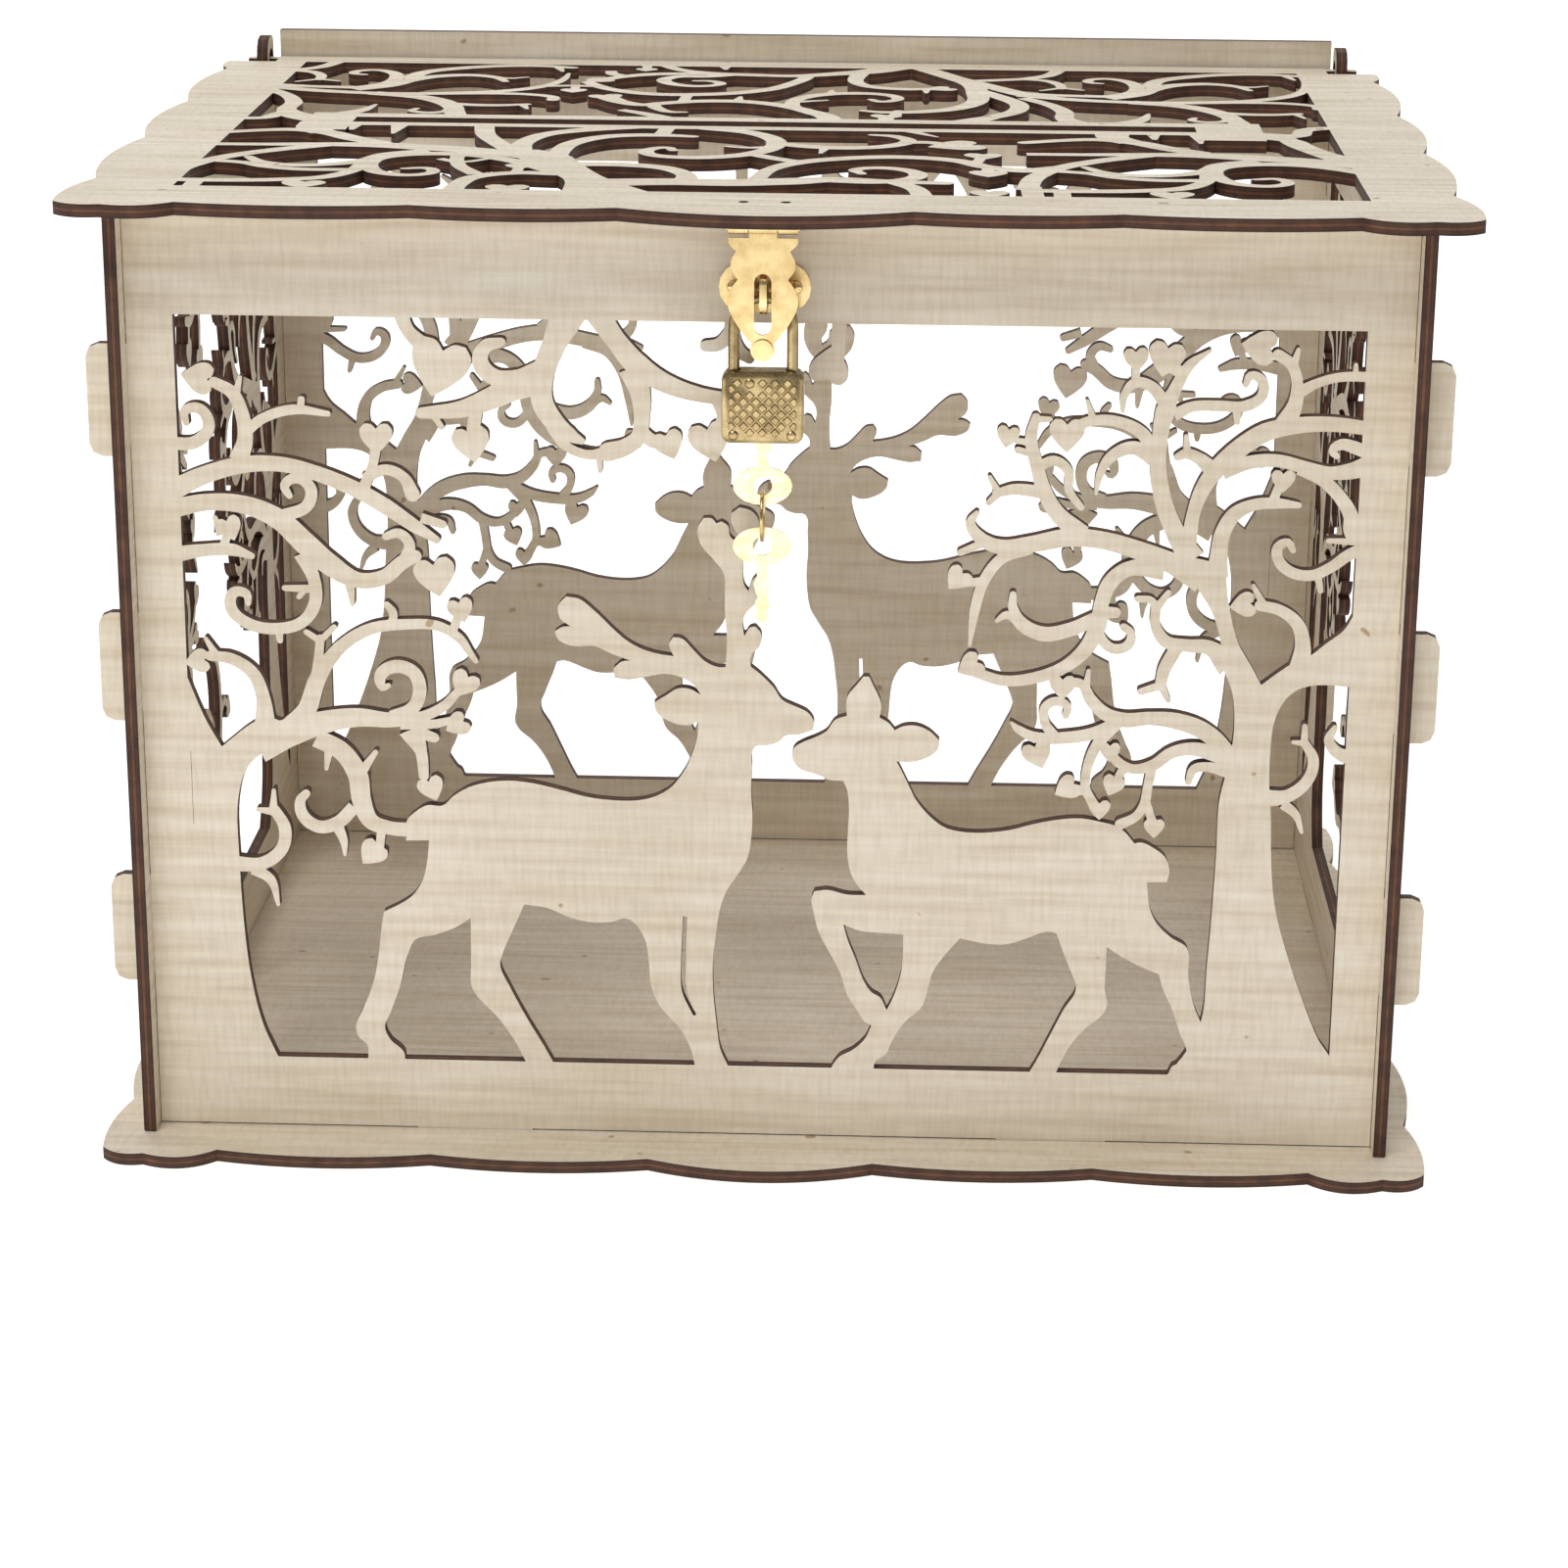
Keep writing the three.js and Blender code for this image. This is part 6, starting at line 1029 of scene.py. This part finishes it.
plate("front_panel_cut", front_panel(), facing_front(FRONT_FACE), "box", WALL_VENEER)
plate("back_panel_cut", back_panel(), facing_back(BACK_FACE), "box", WALL_VENEER)
plate("left_panel_cut", side_panel(), facing_side(-BOX_WIDTH / 2), "box", SIDE_VENEER)
plate("right_panel_cut", side_panel(), facing_side(SIDE_INNER), "box", SIDE_VENEER)
plate("base_plate_cut", base_plate(), lying(BASE_BOTTOM), "box", FLAT_VENEER)
plate("lid_cut", lid_plate(), lying(LID_BOTTOM), "lid", FLAT_VENEER)

# ---------------------------------------------------------------- fittings
BRASS = metal("bright_brass", (0.80, 0.61, 0.31), (0.62, 0.44, 0.19), 0.22, (1, 1, 0.08))
OLD_BRASS = metal("old_brass", (0.46, 0.35, 0.18), (0.26, 0.19, 0.09), 0.26, (1, 1, 1))
PALE_BRASS = metal("pale_brass", (0.76, 0.66, 0.42), (0.58, 0.47, 0.26), 0.24, (0.1, 1, 1))
STEEL = metal("bright_steel", (0.62, 0.62, 0.61), (0.45, 0.45, 0.45), 0.30, (0.1, 1, 1))
FINISHES = {"brass": BRASS, "old_brass": OLD_BRASS, "pale_brass": PALE_BRASS, "steel": STEEL}


def quilting():
    """Raised diamond pads on the padlock's two faces, left out round the rivets."""
    low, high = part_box("padlock_case")
    middle = [(a + b) / 2 for a, b in zip(low, high)]
    border, clear_of_rivet, pad_top, sunk, smallest = 0.0016, 0.0021, 0.72, 0.00005, 1e-6
    half_wide, half_high = (high[0] - low[0]) / 2 - border, (high[2] - low[2]) / 2 - border
    pitch, groove, rise = 0.00285, 0.00042, 0.00036
    reach = (pitch - groove) / 2
    rivets = [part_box(f"padlock_rivet_{i}") for i in (1, 2, 3)]
    rivets = [((a[0] + b[0]) / 2 - middle[0], (a[2] + b[2]) / 2 - middle[2]) for a, b in rivets]
    points, faces = [], []
    count = math.ceil(2 * half_high / pitch) + 1
    for i in range(-count, count + 1):
        for j in range(-count, count + 1):
            x, z = i * pitch / 2, j * pitch / 2
            if (i + j) % 2 or any(math.hypot(x - u, z - v) < clear_of_rivet for u, v in rivets):
                continue
            diamond = [(x + reach, z), (x, z + reach), (x - reach, z), (x, z - reach)]
            pad = clipped(diamond, half_wide, half_high)
            if len(pad) < 3 or abs(area_of(pad)) < smallest:
                continue
            mid_x, mid_z = (sum(p[c] for p in pad) / len(pad) for c in (0, 1))
            for side in (-1, 1):
                face = (high[1] - low[1]) / 2
                first, size = len(points), len(pad)
                for share, out in ((1.0, face - sunk), (pad_top, face + rise)):
                    points += [(middle[0] + mid_x + (u - mid_x) * share, middle[1] + side * out,
                                middle[2] + mid_z + (v - mid_z) * share) for u, v in pad]
                rim = [(first + k, first + (k + 1) % size) for k in range(size)]
                walls = [(a, b, b + size, a + size) for a, b in rim]
                caps = [tuple(range(first, first + size))[::-1], tuple(range(first + size, first + 2 * size))]
                faces += [f[::-side] for f in walls + caps]
    made("padlock_quilting", points, faces, "padlock", "old_brass")


def clipped(pad, half_wide, half_high):
    """The pad's outline cut off at the face's four borders."""
    for axis, sign, limit in ((0, 1, half_wide), (0, -1, half_wide), (1, 1, half_high), (1, -1, half_high)):
        kept = []
        for k, a in enumerate(pad):
            b = pad[(k + 1) % len(pad)]
            inside_a, inside_b = sign * a[axis] <= limit, sign * b[axis] <= limit
            if inside_a:
                kept.append(a)
            if inside_a != inside_b:
                t = (sign * limit - a[axis]) / (b[axis] - a[axis])
                kept.append((a[0] + (b[0] - a[0]) * t, a[1] + (b[1] - a[1]) * t))
        pad = kept
    return pad


def made(name, points, faces, body, slot):
    """A fitting's piece from its points in metres, smooth except over sharp edges."""
    mesh = bpy.data.meshes.new(name)
    mesh.from_pydata(points, [], faces)
    mesh.materials.append(FINISHES[slot])
    mesh.validate()
    mesh.shade_smooth()
    mesh.set_sharp_from_angle(angle=math.radians(SMOOTH_ANGLE))
    piece = bpy.data.objects.new(name, mesh)
    bpy.context.collection.objects.link(piece)
    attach(piece, body)
    return piece


def ring_tube(path, radius, sides=24):
    """Points and faces of a round wire along the points of a closed, flat path."""
    points, faces = [], []
    count = len(path)
    flat = (path[0] - path[count // 3]).cross(path[0] - path[2 * count // 3]).normalized()
    for i, here in enumerate(path):
        forward = (path[(i + 1) % count] - path[(i - 1) % count]).normalized()
        across = forward.cross(flat)
        for k in range(sides):
            angle = 2 * math.pi * k / sides
            points.append(here + (flat * math.cos(angle) + across * math.sin(angle)) * radius)
    for i in range(count):
        for k in range(sides):
            a, b = i * sides, (i + 1) % count * sides
            faces.append((a + k, b + k, b + (k + 1) % sides, a + (k + 1) % sides))
    return points, faces


def key_ring():
    low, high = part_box("key_ring")
    centre = (Vector(low) + Vector(high)) / 2
    wire = (high[0] - low[0]) / 2
    radius = (high[2] - low[2]) / 2 - wire
    stations = 72
    turns = [2 * math.pi * i / stations for i in range(stations)]
    path = [centre + Vector((0, math.cos(t), math.sin(t))) * radius for t in turns]
    piece = made("key_ring_round", *ring_tube(path, wire), "ring", "brass")
    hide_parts("key_ring")


def smoothed(node, body, slot):
    """A CAD fitting's own solid again, with its round sides shaded smooth."""
    source = frame["nodes"][node]
    welded = bmesh.new()
    welded.from_mesh(source.data)
    bmesh.ops.remove_doubles(welded, verts=welded.verts, dist=1e-6)
    points = [v.co.copy() for v in welded.verts]
    faces = [[v.index for v in face.verts] for face in welded.faces]
    welded.free()
    piece = made(f"{node}_finished", points, faces, body, slot)
    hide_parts(node)


for member in frame["record"]["subparts"]:
    node, slot = member["node"], member["material_slot"]
    body = next(b for b, members in frame["record"]["behaviour"]["bodies"].items() if node in members)
    if slot == "plywood" or node == "padlock_latch":
        continue
    if node == "key_ring":
        key_ring()
    else:
        smoothed(node, body, slot)
for place_in in frame["nodes"]["padlock_latch"].material_slots:
    place_in.material = STEEL
quilting()

# ---------------------------------------------------------------- stage, light and camera
PAPER_GLOW = 0.76  # keeps the floor white without strong lamps
CAMERA_AT = (0.0363, -1.0012, 0.3874)
CAMERA_LENS = 91.25
CAMERA_TURN, CAMERA_PITCH, CAMERA_ROLL = -0.03562, 0.31861, -0.00711  # radians


def paper(name, color):
    finish, nodes, links, shader = new_material(name)
    source = nodes.new("ShaderNodeTexCoord")
    mottle = noise(nodes, links, source, 2.5, 2)
    tone = ramp(nodes, links, mottle.outputs["Fac"], [(0.3, tuple(c * 0.985 for c in color)), (0.7, color)])
    links.new(tone.outputs["Color"], shader.inputs["Base Color"])
    shader.inputs["Roughness"].default_value = 0.9
    shader.inputs["Emission Color"].default_value = (1, 1, 1, 1)
    shader.inputs["Emission Strength"].default_value = PAPER_GLOW
    return finish


def sweep():
    """The floor, with a backdrop that curves up far behind the box."""
    half, front, depth, rise, bend = 12.0, -12.0, 2.2, 2.6, 0.8
    profile = [(front, 0.0), (depth - bend, 0.0)]
    for k in range(1, 13):
        angle = math.pi / 2 * k / 12
        profile.append((depth - bend + bend * math.sin(angle), bend - bend * math.cos(angle)))
    profile.append((depth, rise))
    points = [(x, y, z) for y, z in profile for x in (-half, half)]
    faces = [(2 * i, 2 * i + 1, 2 * i + 3, 2 * i + 2) for i in range(len(profile) - 1)]
    mesh = bpy.data.meshes.new("studio_sweep")
    mesh.from_pydata(points, [], faces)
    mesh.materials.append(paper("studio_paper", (0.50, 0.50, 0.50)))
    mesh.shade_smooth()
    stand = bpy.data.objects.new("studio_sweep", mesh)
    bpy.context.collection.objects.link(stand)


def area_light(name, place_at, look_at, size, power):
    lamp = bpy.data.lights.new(name, "AREA")
    lamp.shape = "RECTANGLE"
    lamp.size, lamp.size_y = size
    lamp.energy = power
    holder = bpy.data.objects.new(name, lamp)
    holder.location = place_at
    aim = Vector(look_at) - Vector(place_at)
    holder.rotation_euler = aim.to_track_quat("-Z", "Y").to_euler()
    bpy.context.collection.objects.link(holder)


sweep()
area_light("key_light", (-0.35, -0.85, 1.45), (0, 0, 0.05), (0.9, 0.5), 13)
area_light("fill_light", (-0.1, -0.55, 0.05), (0, -0.13, 0.01), (0.7, 0.1), 0.35)
area_light("top_light", (0.0, 0.3, 1.7), (0, 0, 0.1), (1.6, 1.2), 1.5)
area_light("backdrop_light", (0.0, 0.6, 1.5), (0, 1.9, 0.5), (3.0, 1.0), 20)
world = bpy.data.worlds.new("studio")
world.use_nodes = True
world.node_tree.nodes["Background"].inputs["Color"].default_value = (1.0, 1.0, 1.0, 1)
world.node_tree.nodes["Background"].inputs["Strength"].default_value = 0.24
bpy.context.scene.world = world
bpy.context.scene.view_settings.view_transform = "Standard"

camera = bpy.data.cameras.new("camera")
camera.sensor_width = 36
camera.lens = CAMERA_LENS
camera_holder = bpy.data.objects.new("camera", camera)
sin_t, cos_t = math.sin(CAMERA_TURN), math.cos(CAMERA_TURN)
sin_p, cos_p = math.sin(CAMERA_PITCH), math.cos(CAMERA_PITCH)
sin_r, cos_r = math.sin(CAMERA_ROLL), math.cos(CAMERA_ROLL)
forward = Vector((sin_t * cos_p, cos_t * cos_p, -sin_p))
level_right = Vector((cos_t, -sin_t, 0))
level_up = Vector((sin_t * sin_p, cos_t * sin_p, cos_p))
right = level_right * cos_r - level_up * sin_r
up = level_right * sin_r + level_up * cos_r
facing = Matrix((right, up, -forward)).transposed()
camera_holder.matrix_world = Matrix.Translation(CAMERA_AT) @ facing.to_4x4()
bpy.context.collection.objects.link(camera_holder)
bpy.context.scene.camera = camera_holder
